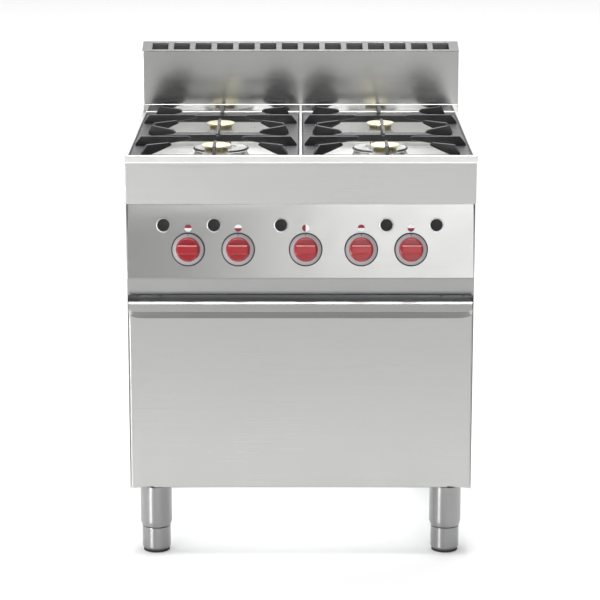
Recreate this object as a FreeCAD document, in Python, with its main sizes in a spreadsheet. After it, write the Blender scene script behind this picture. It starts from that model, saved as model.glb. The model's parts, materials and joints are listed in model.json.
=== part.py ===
import FreeCAD, Part
import math
import os
import re
import Sketcher

# Free-standing gas range with four open burners over an oven.
# Millimetres. X runs to the right, Y to the back, Z up, with Z = 0 on the floor.
# Depths written below count from the front edge of the worktop towards the back.

doc = FreeCAD.newDocument("gas_range")

SIZES = {
    # overall
    "front_edge": -310,
    "worktop_width": 700,
    "worktop_depth": 600,
    "rim_height": 840,
    "cabinet_width": 697,
    "gauge": 1.5,
    "skin": 1.2,
    # worktop, wells and splashback
    "apron_base": 742,
    "ledge_height": 820,
    "well_floor": 765,
    "well_wall": 2,
    "rib_half": 3,
    "recess_side": 9,
    "recess_front": 8,
    "ledge_width": 16,
    "upstand_top": 855,
    "splash_width": 698,
    "splash_front": 974,
    "splash_rear": 989,
    "flue_depth": 50,
    "slot_width": 35.5,
    "slot_pitch": 47.7,
    # pan grids and burners
    "grid_top": 856,
    "frame_top": 836.5,
    "grid_side": 28,
    "finger_width": 9,
    "tip_depth": 7,
    "burner_offset": 171.5,
    "burner_front": 148,
    "burner_rear": 441,
    "cap_diameter": 60,
    "crown_diameter": 46,
    # control panel
    "panel_width": 693.6,
    "panel_base": 591,
    "panel_setback": 32,
    "panel_foot": 4,
    "fascia_base": 554,
    "fascia_setback": 14,
    "knob_height": 648,
    "button_height": 696,
    "mark_height": 690,
    "skirt_diameter": 66,
    "knob_diameter": 47,
    "knob_reach": 43.75,
    "knob_gap": 4,
    "button_diameter": 24,
    # oven and door
    "door_half": 346,
    "door_face": 16,
    "door_back": 50,
    "door_base": 150,
    "door_top": 540,
    "hinge_depth": 24,
    "hinge_height": 158,
    "hinge_pin": 6,
    "frame_plane": 54,
    "cavity_half": 270,
    "cavity_base": 186,
    "cavity_top": 490,
    "cavity_back": 560,
    "lagging": 25,
    "shelf_height": 330,
    # legs
    "leg_offset": 299,
    "leg_front": 75,
    "leg_rear": 560,
    "leg_height": 146,
    "sleeve_diameter": 65,
    "sleeve_base": 54,
    "foot_diameter": 58.5,
    # gas line
    "manifold_depth": 120,
    "manifold_height": 634,
    "manifold_diameter": 22,
    "inlet_diameter": 20.955,
    "inlet_offset": 300,
    "inlet_end": 640,
}

sheet = doc.addObject("Spreadsheet::Sheet", "sizes")
for row, (alias, value) in enumerate(SIZES.items(), start=1):
    sheet.set(f"A{row}", alias)
    sheet.set(f"B{row}", str(value))
    sheet.setAlias(f"B{row}", alias)
doc.recompute()

WORD = re.compile(r"[a-z_]+")
SIDES = (("left", -1), ("right", 1))
nodes = []


def linked(text):
    """Point every size named in an expression at its cell."""
    def cell(found):
        word = found.group()
        return f"sizes.{word}" if word in SIZES else word
    return WORD.sub(cell, str(text))


def value(text):
    """The number that an expression gives with the sheet's sizes."""
    return float(sheet.evalExpression(linked(text)))


def bind(thing, **expressions):
    for path, text in expressions.items():
        thing.setExpression(path.replace("__", "."), linked(text))


def place(thing, x=0, depth=0, z=0, turn=None):
    """Put a piece at x, a depth behind the front edge, and a height."""
    if turn is not None:
        thing.Placement = FreeCAD.Placement(FreeCAD.Vector(), turn)
    bind(thing, Placement__Base__x=x, Placement__Base__y=f"front_edge + ({depth})", Placement__Base__z=z)
    return thing


def node(thing, label):
    thing.Label = label
    nodes.append(thing)
    return thing


ALONG = {
    "x": FreeCAD.Rotation(FreeCAD.Vector(0, 1, 0), 90),
    "y": FreeCAD.Rotation(FreeCAD.Vector(1, 0, 0), -90),
    "z": FreeCAD.Rotation(),
}


def block(name, x, depth, z):
    """A box between two values on each axis."""
    solid = doc.addObject("Part::Box", name)
    bind(solid, Length=f"({x[1]}) - ({x[0]})", Width=f"({depth[1]}) - ({depth[0]})",
         Height=f"({z[1]}) - ({z[0]})")
    place(solid, x[0], depth[0], z[0])
    return solid


def rod(name, diameter, length, x, depth, z, along="z"):
    """A cylinder that starts at a point and runs along an axis."""
    solid = doc.addObject("Part::Cylinder", name)
    bind(solid, Radius=f"({diameter}) / 2", Height=length)
    place(solid, x, depth, z, ALONG[along])
    return solid


def fuse(name, pieces):
    joined = doc.addObject("Part::MultiFuse", name)
    joined.Shapes = pieces
    return joined


def cut(name, base, tools):
    result = doc.addObject("Part::Cut", name)
    result.Base = base
    result.Tool = tools[0] if len(tools) == 1 else fuse(f"{name}_tools", tools)
    return result


def group(name, pieces):
    """Separate solids that share a node."""
    together = doc.addObject("Part::Compound", name)
    together.Links = pieces
    return together


def origin_plane(body, role):
    return next(item for item in body.Origin.OriginFeatures if item.Role == role)


def outline(body, name, role, points, base=None):
    """A closed sketch whose corners are set by expressions."""
    sketch = body.newObject("Sketcher::SketchObject", name)
    support = origin_plane(body, role)
    sketch.AttachmentSupport = [(support, "")]
    sketch.MapMode = "FlatFace"
    if base is not None:
        bind(sketch, AttachmentOffset__Base__z=base)
    # a first guess at each corner keeps the solver on the right side
    guess = [FreeCAD.Vector(value(u), value(v), 0) for u, v in points]
    count = len(points)
    for index in range(count):
        sketch.addGeometry(Part.LineSegment(guess[index], guess[(index + 1) % count]))
    for index in range(count):
        sketch.addConstraint(Sketcher.Constraint("Coincident", index, 2, (index + 1) % count, 1))
    for index, (u, v) in enumerate(points):
        for kind, text in (("DistanceX", u), ("DistanceY", v)):
            number = sketch.addConstraint(Sketcher.Constraint(kind, -1, 1, index, 1, value(text)))
            if WORD.search(str(text)):
                sketch.setExpression(f"Constraints[{number}]", linked(text))
    return sketch


def body_for(name):
    body = doc.addObject("PartDesign::Body", name)
    doc.recompute()
    return body


def feature(body, kind, name, sketch):
    made = body.newObject(f"PartDesign::{kind}", name)
    made.Profile = sketch
    return made


def padded(name, role, points, length, start):
    """A body padded from one outline, starting at a distance along its normal."""
    body = body_for(name)
    sketch = outline(body, f"{name}_outline", role, points, base=start)
    pad = feature(body, "Pad", f"{name}_pad", sketch)
    bind(pad, Length=length)
    return body


def turned(name, points):
    """A body turned about its own Z axis from (radius, height) corners."""
    body = body_for(name)
    sketch = outline(body, f"{name}_profile", "XZ_Plane", points)
    spin = feature(body, "Revolution", f"{name}_turning", sketch)
    spin.ReferenceAxis = (sketch, ["V_Axis"])
    spin.Angle = 360
    return body


def mirrored_blocks(name, x, depth, z):
    """A box at the right and its twin at the left."""
    right = block(f"{name}_right", x, depth, z)
    left = block(f"{name}_left", (f"-({x[1]})", f"-({x[0]})"), depth, z)
    return [left, right]


# ---------------------------------------------------------------- cabinet

def side_panel(side, sign):
    """A thin side with a flange turned in at the back."""
    outer = f"{sign} * cabinet_width / 2"
    inner = f"{sign} * (cabinet_width / 2 - skin)"
    flange = f"{sign} * (cabinet_width / 2 - 20)"
    front = "front_edge + 22"
    back = "front_edge + worktop_depth - skin"
    corners = [(outer, front), (outer, back), (flange, back), (flange, f"{back} - skin"),
               (inner, f"{back} - skin"), (inner, front)]
    body = padded(f"{side}_side", "XY_Plane", corners, "apron_base - leg_height", "leg_height")
    return node(body, f"{side}_side_panel")


def rear_panel():
    plate = block("rear_plate", ("-cabinet_width / 2", "cabinet_width / 2"),
                  ("worktop_depth - skin", "worktop_depth"), ("leg_height", "apron_base"))
    inlet_hole = rod("inlet_hole", "inlet_diameter + 4", 10, "inlet_offset", "worktop_depth - 5",
                     "manifold_height", "y")
    flue_hole = block("rear_flue_hole", (-104, 104), ("worktop_depth - 5", "worktop_depth + 5"),
                      (430, 480))
    return node(cut("rear_sheet", plate, [inlet_hole, flue_hole]), "rear_panel")


def base_pan():
    inside = ("-cabinet_width / 2 + skin", "cabinet_width / 2 - skin")
    depth = ("frame_plane", "worktop_depth - 2 * skin")
    floor = block("pan_floor", inside, depth, ("leg_height", "leg_height + gauge"))
    lips = mirrored_blocks("pan_lip", ("cabinet_width / 2 - skin - gauge", "cabinet_width / 2 - skin"),
                           ("frame_plane + 4", "worktop_depth - 24"),
                           ("leg_height + gauge", "leg_height + 20"))
    return node(fuse("pan", [floor] + lips), "base_pan")


def frame_rails():
    """Square tubes that tie the sides together under the worktop."""
    top = "apron_base"
    low = "apron_base - 25"
    end = "cabinet_width / 2 - skin"
    front = cut("front_rail", block("front_rail_outer", (f"-({end})", end), (62, 87), (low, top)),
                [block("front_rail_bore", ("-cabinet_width / 2", "cabinet_width / 2"), (63.5, 85.5),
                       (f"{low} + gauge", f"{top} - gauge"))])
    rails = [front]
    outer = mirrored_blocks("side_rail", (f"{end} - 25", end), (87, 590), (low, top))
    bore = mirrored_blocks("side_rail_bore", (f"{end} - 25 + gauge", f"{end} - gauge"), (86, 591),
                           (f"{low} + gauge", f"{top} - gauge"))
    for (side, _), solid, hollow in zip(SIDES, outer, bore):
        rails.append(cut(f"{side}_rail", solid, [hollow]))
    return node(group("rails", rails), "frame_rails")


def front_frame():
    """The oven mouth that the door closes on."""
    edge = "cabinet_width / 2 - skin"
    plate = block("mouth_plate", (f"-({edge})", edge), ("frame_plane", "frame_plane + 2"),
                  ("leg_height + gauge", "fascia_base - 2"))
    mouth = block("mouth", ("-cavity_half", "cavity_half"), ("frame_plane - 5", "frame_plane + 5"),
                  ("cavity_base", "cavity_top"))
    return node(cut("mouth_frame", plate, [mouth]), "front_frame")


def screws(name, label, places, depth, direction):
    """Pan heads on a vertical sheet, facing the front or the back."""
    heads = []
    for index, (x, z) in enumerate(places, start=1):
        start = f"{depth} - 2" if direction < 0 else depth
        heads.append(rod(f"{name}_{index}", 7, 2, x, start, z, "y"))
    return node(group(name, heads), label)


# ---------------------------------------------------------------- worktop and flue

def worktop():
    """Pressed top with a skirt round it, and a stepped well under each pan grid."""
    half = "worktop_width / 2"
    wall = "well_wall"
    shell = block("top_outer", (f"-({half})", half), (0, "worktop_depth"), ("apron_base", "rim_height"))
    under = block("top_under", (f"-({half} - {wall})", f"{half} - {wall}"),
                  (wall, f"worktop_depth - {wall}"),
                  ("apron_base - 1", f"rim_height - {wall}"))
    steps = mirrored_blocks("step", (f"rib_half - {wall}", f"{half} - recess_side + {wall}"),
                            (f"recess_front - {wall}", f"worktop_depth - recess_front + {wall}"),
                            (f"ledge_height - {wall}", "rim_height"))
    pans = mirrored_blocks("pan_wall", (f"rib_half + ledge_width - {wall}",
                                        f"{half} - recess_side - ledge_width + {wall}"),
                           (f"recess_front + ledge_width - {wall}",
                            f"worktop_depth - recess_front - ledge_width + {wall}"),
                           (f"well_floor - {wall}", "ledge_height"))
    upstand = block("upstand", (-349, 349), (f"worktop_depth - {wall}", "worktop_depth"),
                    (f"rim_height - {wall}", "upstand_top"))
    recesses = mirrored_blocks("recess", ("rib_half", f"{half} - recess_side"),
                               ("recess_front", "worktop_depth - recess_front"),
                               ("ledge_height", "rim_height + 1"))
    wells = mirrored_blocks("well", ("rib_half + ledge_width", f"{half} - recess_side - ledge_width"),
                            ("recess_front + ledge_width", "worktop_depth - recess_front - ledge_width"),
                            ("well_floor", "ledge_height + 1"))
    holes = []
    for side, row, x, depth in burner_places():
        holes.append(rod(f"burner_hole_{row}_{side}", 44, 20, x, depth, "well_floor - 10"))
    hollow = cut("top_shell", shell, [under])
    filled = fuse("top_solid", [hollow, upstand] + steps + pans)
    return node(cut("top", filled, recesses + wells + holes), "worktop")


def burner_places():
    return [(side, row, f"{sign} * burner_offset", f"burner_{row}")
            for row in ("front", "rear") for side, sign in SIDES]


def splash_prism(name, inset, bottom, top_drop):
    """The wedge-topped volume of the flue box, brought in by an inset."""
    near = f"front_edge + worktop_depth + {inset}"
    far = f"front_edge + worktop_depth + flue_depth - {inset}"
    rise = "(splash_rear - splash_front) / flue_depth"
    corners = [(near, bottom), (far, bottom), (far, f"splash_rear - {top_drop} - {inset} * {rise}"),
               (near, f"splash_front - {top_drop} + {inset} * {rise}")]
    return padded(name, "YZ_Plane", corners, f"splash_width - 2 * {inset}", f"-splash_width / 2 + {inset}")


def splashback():
    """The upright flue box behind the worktop, open under its grille."""
    outer = splash_prism("flue_outer", 0, "rim_height - 4", "gauge")
    inner = splash_prism("flue_inner", 1.5, "rim_height - 4 + gauge", "-5")
    riser = block("riser_hole", (-102, 102), ("worktop_depth + 1.5", "worktop_depth + 38.5"),
                  ("rim_height - 10", "rim_height + 10"))
    return node(cut("flue_box", outer, [inner, riser]), "splashback")


def flue_grille():
    """The sloping strip with its row of vent slots."""
    near = "front_edge + worktop_depth"
    far = f"{near} + flue_depth"
    corners = [(near, "splash_front - gauge"), (far, "splash_rear - gauge"), (far, "splash_rear"),
               (near, "splash_front")]
    body = padded("grille", "YZ_Plane", corners, "splash_width", "-splash_width / 2")
    slots = 14
    first = f"-slot_pitch * {(slots - 1) / 2} - slot_width / 2"
    sketch = outline(body, "slot", "XY_Plane",
                     [(first, f"{near} + 7"), (f"{first} + slot_width", f"{near} + 7"),
                      (f"{first} + slot_width", f"{far} - 7"), (first, f"{far} - 7")],
                     base="splash_rear + 5")
    pocket = feature(body, "Pocket", "slot_cut", sketch)
    pocket.Type = "ThroughAll"
    doc.recompute()
    pattern = body.newObject("PartDesign::LinearPattern", "slot_row")
    pattern.Originals = [pocket]
    pattern.Direction = (sketch, ["H_Axis"])
    pattern.Occurrences = slots
    bind(pattern, Length=f"slot_pitch * {slots - 1}")
    body.Tip = pattern
    return node(body, "flue_grille")


def flue_duct():
    """Throat from the oven's back wall and riser up to the flue box."""
    throat = block("throat", (-104, 104), ("cavity_back + 2", "worktop_depth + 1.5"), (430, 480))
    riser = block("riser", (-104, 104), ("worktop_depth", "worktop_depth + 40"), (425, "rim_height - 4"))
    throat_bore = block("throat_bore", (-102, 102), ("cavity_back", "worktop_depth + 10"), (432, 478))
    riser_bore = block("riser_bore", (-102, 102), ("worktop_depth + 1.5", "worktop_depth + 38.5"),
                       (427, "rim_height"))
    return node(cut("duct", fuse("duct_outer", [throat, riser]), [throat_bore, riser_bore]), "flue_duct")


# ---------------------------------------------------------------- burners and pan grids

def burner_bases():
    """A pressed stand with a wide polished disc for each burner."""
    stands = []
    for side, row, x, depth in burner_places():
        stand = turned(f"stand_{row}_{side}", [
            (22.5, "well_floor"), (62.5, "well_floor"), (55, "well_floor + 18"), (59, "well_floor + 18"),
            (59, "well_floor + 21"), (22.5, "well_floor + 21")])
        stands.append(place(stand, x, depth))
    return node(group("stands", stands), "burner_bases")


def burner_bodies():
    """Mixing tube and flared hub that carries the cap."""
    tubes = []
    for side, row, x, depth in burner_places():
        tube = turned(f"tube_{row}_{side}", [
            (15, 725), (21, 725), (21, 812), (31, 815), (31, 817), ("crown_diameter / 2", 826),
            (19, 826), (19, 806), (15, 806)])
        tubes.append(place(tube, x, depth))
    return node(group("tubes", tubes), "burner_bodies")


def burner_cap(side, row, x, depth):
    """Brass cap with a slotted crown, lifted out by hand."""
    name = f"cap_{row}_{side}"
    body = turned(name, [
        (14, 812), (18.6, 812), (18.6, 826.3), ("crown_diameter / 2", 826.3), ("crown_diameter / 2", 833),
        ("cap_diameter / 2", 836.5), ("cap_diameter / 2", 838.5), ("cap_diameter / 2 - 3", 840.6),
        (0, 841.4), (0, 834), (14, 834)])
    slit = outline(body, f"{name}_slit", "XZ_Plane",
                   [(-0.9, 827.5), (0.9, 827.5), (0.9, 832.5), (-0.9, 832.5)])
    pocket = feature(body, "Pocket", f"{name}_slit_cut", slit)
    bind(pocket, Length="cap_diameter / 2 + 5")
    doc.recompute()
    ring = body.newObject("PartDesign::PolarPattern", f"{name}_slits")
    ring.Originals = [pocket]
    ring.Axis = (slit, ["V_Axis"])
    ring.Angle = 360
    ring.Occurrences = 20
    body.Tip = ring
    return node(place(body, x, depth), f"burner_cap_{row}_{side}")


def finger(name, root, heading, length):
    """A cast web that tapers from its root to its tip, heading in degrees from +Y."""
    web = doc.addObject("Part::Wedge", name)
    bind(web, Xmin="-finger_width / 2", Xmax="finger_width / 2", X2min="-finger_width / 2 + 1",
         X2max="finger_width / 2 - 1", Ymin=0, Ymax=length, Zmin="frame_top - 1",
         Zmax="grid_top", Z2min="grid_top - tip_depth", Z2max="grid_top")
    place(web, root[0], root[1], 0, FreeCAD.Rotation(FreeCAD.Vector(0, 0, 1), heading))
    return web


def pan_grid(side, sign):
    """Cast frame in the worktop's recess with eight fingers round each burner."""
    near = "rib_half + 1"
    far = "worktop_width / 2 - recess_side - 1"
    start = "recess_front + 1"
    end = "worktop_depth - recess_front - 1"
    middle = ("burner_front + 146", "burner_front + 172")
    heights = ("ledge_height + 0.3", "frame_top")
    inner_near = f"{near} + 27"
    inner_far = f"{far} - grid_side"

    def across(low, high):
        return (low, high) if sign > 0 else (f"-({high})", f"-({low})")

    pieces = [
        block(f"{side}_bar_inner", across(near, inner_near), (start, end), heights),
        block(f"{side}_bar_outer", across(inner_far, far), (start, end), heights),
        block(f"{side}_bar_front", across(near, far), (start, f"{start} + grid_side"), heights),
        block(f"{side}_bar_middle", across(near, far), middle, heights),
        block(f"{side}_bar_rear", across(near, far), (f"{end} - grid_side", end), heights),
    ]
    rows = (("burner_front", f"{start} + grid_side", middle[0]),
            ("burner_rear", middle[1], f"{end} - grid_side"))
    for number, (centre, low, high) in enumerate(rows, start=1):
        for edge, x in (("inner", inner_near), ("outer", inner_far)):
            # straight finger across, from the frame's far edge to the burner
            towards = 1 if edge == "inner" else -1
            outside = near if edge == "inner" else far
            reach = f"abs(burner_offset - ({outside})) - 52"
            pieces.append(finger(f"{side}_{number}_{edge}_finger", (f"{sign} * ({outside})", centre),
                                 -90 * towards * sign, reach))
            for corner, depth, along in (("front", low, 1), ("rear", high, -1)):
                # diagonal finger out of the window's corner
                dx = sign * towards * (abs(value("burner_offset") - value(x)) - 88)
                dy = value(f"{centre} - {along} * 79") - value(depth)
                heading = -math.degrees(math.atan2(dx, dy))
                pieces.append(finger(f"{side}_{number}_{edge}_{corner}_diagonal",
                                     (f"{sign} * ({x})", depth), heading, math.hypot(dx, dy)))
                pieces.append(block(f"{side}_{number}_{edge}_{corner}_post", across(f"{x} - 4", f"{x} + 4"),
                                    (f"{depth} - 5", f"{depth} + 5"), ("frame_top - 2", "grid_top")))
        for corner, depth, along in (("front", low, 1), ("rear", high, -1)):
            shared = (number == 2) == (corner == "front")
            overrun = 12 if shared else 27
            outside = f"({depth}) - {along} * {overrun}"
            reach = f"abs({centre} - ({outside})) - 52"
            pieces.append(finger(f"{side}_{number}_{corner}_finger", (f"{sign} * burner_offset", outside),
                                 0 if along > 0 else 180, reach))
    return node(fuse(f"{side}_grid", pieces), f"{side}_pan_grid")


# ---------------------------------------------------------------- control panel

PANEL_SLOPE = "(panel_setback - panel_foot) / (apron_base - panel_base)"
TILT = math.degrees(math.atan(value(PANEL_SLOPE)))
FACING = FreeCAD.Rotation(FreeCAD.Vector(1, 0, 0), 90 - TILT)
KNOBS = (-224.5, -124.6, 10.2, 121.1, 220.6)
BUTTONS = (-274, -173, -39, 171.5, 271.3)


def on_panel(thing, x, height, spin=0):
    """Stand a piece on the panel's face with its own Z pointing out of it."""
    turn = FACING.multiply(FreeCAD.Rotation(FreeCAD.Vector(0, 0, 1), spin))
    place(thing, x, f"panel_foot + ({height} - panel_base) * {PANEL_SLOPE}", height, turn)
    return thing


def control_panel():
    """Folded panel: a sloping face, a tucked fascia and a return at each edge."""
    edge = "front_edge"
    corners = [(f"{edge} + 60", "apron_base"), (f"{edge} + panel_setback", "apron_base"),
               (f"{edge} + panel_foot", "panel_base"), (f"{edge} + fascia_setback", "fascia_base"),
               (f"{edge} + frame_plane", "fascia_base"), (f"{edge} + frame_plane", "fascia_base + gauge"),
               (f"{edge} + fascia_setback + 1.2", "fascia_base + gauge"),
               (f"{edge} + panel_foot + 1.55", "panel_base"),
               (f"{edge} + panel_setback + 1.25", "apron_base - gauge"),
               (f"{edge} + 60", "apron_base - gauge")]
    sheet_body = padded("panel_sheet", "YZ_Plane", corners, "panel_width", "-panel_width / 2")
    holes = []
    for index, x in enumerate(KNOBS, start=1):
        hole = doc.addObject("Part::Cylinder", f"shaft_hole_{index}")
        bind(hole, Radius=6, Height=20)
        holes.append(centred_on_panel(hole, x, "knob_height"))
    for index, x in enumerate(BUTTONS, start=1):
        hole = doc.addObject("Part::Cylinder", f"button_hole_{index}")
        bind(hole, Radius="button_diameter / 2 + 1.4", Height=20)
        holes.append(centred_on_panel(hole, x, "button_height"))
    return node(cut("panel", sheet_body, holes), "control_panel")


def centred_on_panel(hole, x, height):
    """Stand a 20 mm long cutter half in front of the face and half behind it."""
    on_panel(hole, x, height)
    lean = math.radians(TILT)
    bind(hole, Placement__Base__y=f"front_edge + panel_foot + ({height} - panel_base) * {PANEL_SLOPE}"
                                  f" + {10 * math.cos(lean)}",
         Placement__Base__z=f"{height} - {10 * math.sin(lean)}")
    return hole


def dial_marks(colour, spins):
    """Half discs above the knobs; the two colours make a whole disc."""
    halves = []
    for index, (x, spin) in enumerate(zip(KNOBS, spins), start=1):
        half = doc.addObject("Part::Cylinder", f"{colour}_mark_{index}")
        bind(half, Radius=7.2, Height=0.4, Angle=180)
        halves.append(on_panel(half, x, "mark_height", spin))
    return node(group(f"{colour}_marks", halves), f"dial_marks_{colour}")


def igniter_bodies():
    """Bezel and blind tube that guides each igniter button."""
    tubes = []
    for index, x in enumerate(BUTTONS, start=1):
        tube = turned(f"igniter_tube_{index}", [
            (0, -28), ("button_diameter / 2 + 1.3", -28), ("button_diameter / 2 + 1.3", 0),
            ("button_diameter / 2 + 2.4", 0), ("button_diameter / 2 + 2.4", 1.4),
            ("button_diameter / 2 + 0.3", 1.4), ("button_diameter / 2 + 0.3", -26), (0, -26)])
        tubes.append(on_panel(tube, x, "button_height"))
    return node(group("igniter_tubes", tubes), "igniter_bodies")


def igniter_button(index, x):
    button = turned(f"button_{index}", [
        (0, -20), ("button_diameter / 2", -20), ("button_diameter / 2", 5),
        ("button_diameter / 2 - 1.5", 6.6), (0, 7)])
    return node(on_panel(button, x, "button_height"), f"igniter_button_{index}")


def gas_taps():
    """Tap body behind each knob, with a tail into the manifold."""
    taps = []
    for index, x in enumerate(KNOBS, start=1):
        barrel = turned(f"tap_barrel_{index}", [
            (0, -64), (15, -64), (15, -16), (19, -16), (19, -12), (4.3, -12), (4.3, -50), (0, -50)])
        on_panel(barrel, x, "knob_height")
        tail = rod(f"tap_tail_{index}", 14, "manifold_depth - manifold_diameter / 2 - 74", x, 74,
                   "manifold_height", "y")
        taps.append(fuse(f"tap_{index}", [barrel, tail]))
    return node(group("taps", taps), "gas_taps")


def tap_stem(index, x):
    stem = turned(f"stem_{index}", [(0, -44), (4, -44), (4, "knob_gap + 14"), (0, "knob_gap + 14")])
    return node(on_panel(stem, x, "knob_height"), f"tap_stem_{index}")


def knob(index, x):
    """Skirt, round cap and grip bar in one moulding, hollow for its stem."""
    gap = "knob_gap"
    name = f"knob_body_{index}"
    body = turned(name, [
        (4.3, gap), ("skirt_diameter / 2", gap), ("skirt_diameter / 2 - 1", f"{gap} + 3"),
        ("knob_diameter / 2 + 2", f"{gap} + 5"), ("knob_diameter / 2", f"{gap} + 6"),
        ("knob_diameter / 2 - 1", f"{gap} + 19"), (0, f"{gap} + 20"), (0, f"{gap} + 15"),
        (4.3, f"{gap} + 15")])
    bar = outline(body, f"{name}_bar", "XY_Plane", [
        ("-knob_diameter / 2 + 3", -8.5), ("knob_diameter / 2 - 3", -8.5), ("knob_diameter / 2 - 3", 8.5),
        ("-knob_diameter / 2 + 3", 8.5)], base=f"{gap} + 17")
    pad = feature(body, "Pad", f"{name}_grip", bar)
    bind(pad, Length=f"knob_reach - {gap} - 17")
    return node(on_panel(body, x, "knob_height"), f"knob_{index}")


# ---------------------------------------------------------------- gas line

def gas_manifold():
    main = rod("manifold_main", "manifold_diameter", "inlet_offset + 270", -250,
               "manifold_depth", "manifold_height", "x")
    branch = rod("manifold_branch", "manifold_diameter", "worktop_depth - manifold_depth + 1",
                 "inlet_offset", "manifold_depth", "manifold_height", "y")
    inlet = rod("manifold_inlet", "inlet_diameter", "inlet_end - manifold_depth", "inlet_offset",
                "manifold_depth", "manifold_height", "y")
    return node(fuse("manifold", [main, branch, inlet]), "gas_manifold")


def run_of_pipe(name, diameter, corners):
    """Straight runs along the axes, joined by a ball at each corner."""
    runs = []
    for index in range(len(corners) - 1):
        start, end = corners[index], corners[index + 1]
        axis = next(i for i in range(3) if start[i] != end[i])
        low = start if value(start[axis]) < value(end[axis]) else end
        high = end if low is start else start
        length = f"({high[axis]}) - ({low[axis]})"
        runs.append(rod(f"{name}_run_{index}", diameter, length, *low, "xyz"[axis]))
    for index, corner in enumerate(corners[1:-1]):
        ball = doc.addObject("Part::Sphere", f"{name}_bend_{index}")
        bind(ball, Radius=f"({diameter}) / 2")
        place(ball, *corner)
        runs.append(ball)
    return runs


def burner_feed_pipes():
    """A pipe from each tap to its injector, and one down to the oven burner."""
    pipe = 8
    feeds = []
    for knob_index, sign, row, level in ((0, -1, "rear", 676), (1, -1, "front", 690), (3, 1, "front", 690),
                                         (4, 1, "rear", 676)):
        x = KNOBS[knob_index]
        corners = [(x, 56, 656.5), (x, 56, level), (x, f"burner_{row}", level),
                   (f"{sign} * burner_offset", f"burner_{row}", level),
                   (f"{sign} * burner_offset", f"burner_{row}", 712)]
        name = f"feed_{knob_index + 1}"
        injector = rod(f"{name}_injector", 16, 8, f"{sign} * burner_offset", f"burner_{row}", 712)
        feeds.append(fuse(name, run_of_pipe(name, pipe, corners) + [injector]))
    x = KNOBS[2]
    corners = [(x, 52, 624.5), (x, 52, 600), (x, 66, 600), (320, 66, 600), (320, 66, 154), (320, 200, 154),
               (0, 200, 154), (0, 200, 173)]
    feeds.append(fuse("feed_oven", run_of_pipe("feed_oven", pipe, corners)))
    return node(group("feeds", feeds), "burner_feed_pipes")


# ---------------------------------------------------------------- oven

def flue_cutter(name):
    return block(name, (-104, 104), ("cavity_back - 5", "worktop_depth"), (430, 480))


def oven_liner():
    outer = block("liner_outer", ("-cavity_half - 2", "cavity_half + 2"),
                  ("frame_plane + 2", "cavity_back + 2"), ("cavity_base - 2", "cavity_top + 2"))
    inner = block("liner_inner", ("-cavity_half", "cavity_half"), ("frame_plane", "cavity_back"),
                  ("cavity_base", "cavity_top"))
    flue = block("liner_flue", (-102, 102), ("cavity_back - 5", "cavity_back + 5"), (432, 478))
    gas = rod("liner_gas", 20, 20, 0, 200, "cavity_base - 10")
    return node(cut("liner", outer, [inner, flue, gas]), "oven_liner")


def oven_insulation():
    outer = block("lagging_outer", ("-cavity_half - 2 - lagging", "cavity_half + 2 + lagging"),
                  ("frame_plane + 2", "cavity_back + 2 + lagging"),
                  ("cavity_base - 2 - lagging + 2", "cavity_top + 2 + lagging"))
    inner = block("lagging_inner", ("-cavity_half - 2", "cavity_half + 2"),
                  ("frame_plane", "cavity_back + 2"), ("cavity_base - 2", "cavity_top + 2"))
    gas = rod("lagging_gas", 20, 60, 0, 200, 150)
    return node(cut("jacket", outer, [inner, flue_cutter("lagging_flue"), gas]), "oven_insulation")


def oven_floor_plate():
    """Sole plate on two turned-down flanges over the oven burner."""
    plate = block("sole", ("-cavity_half + 8", "cavity_half - 8"), (72, 550), (222, 224))
    flanges = mirrored_blocks("sole_flange", ("cavity_half - 10", "cavity_half - 8"), (72, 550),
                              ("cavity_base", 222))
    return node(fuse("sole_plate", [plate] + flanges), "oven_floor_plate")


def oven_burner():
    tube = 22
    middle = 204
    cross = rod("burner_cross", tube, 220, -110, 200, middle, "x")
    legs = [rod(f"burner_leg_{side}", tube, 290, 110 * sign, 200, middle, "y") for side, sign in SIDES]
    knees = [rod(f"burner_knee_{side}", tube, tube, 110 * sign, 200, middle - tube / 2)
             for side, sign in SIDES]
    stub = rod("burner_stub", 16, middle - 173, 0, 200, 173)
    feet = [block(f"burner_foot_{side}", (110 * sign - 6, 110 * sign + 6), (470, 474),
                  ("cavity_base", middle))
            for side, sign in SIDES]
    return node(fuse("u_burner", [cross, stub] + legs + knees + feet), "oven_burner")


def shelf_runners():
    """A ladder of angle rails on each side wall."""
    ladders = []
    for side, sign in SIDES:
        def across(low, high):
            return (low, high) if sign > 0 else (f"-({high})", f"-({low})")
        rails = []
        for step in (-70, 0, 70):
            level = f"shelf_height - 3.3 + {step}"
            rails.append(block(f"{side}_rail_{step + 70}", across("cavity_half - 12", "cavity_half"),
                               (80, 545), (f"{level} - 1.5", level)))
            rails.append(block(f"{side}_lip_{step + 70}", across("cavity_half - 1.5", "cavity_half"),
                               (80, 545), (level, f"{level} + 14")))
        for depth in (120, 500):
            rails.append(block(f"{side}_upright_{depth}", across("cavity_half - 1.5", "cavity_half"),
                               (depth, depth + 16), ("shelf_height - 76", "shelf_height + 82")))
        ladders.append(fuse(f"{side}_ladder", rails))
    return node(group("ladders", ladders), "shelf_runners")


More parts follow.
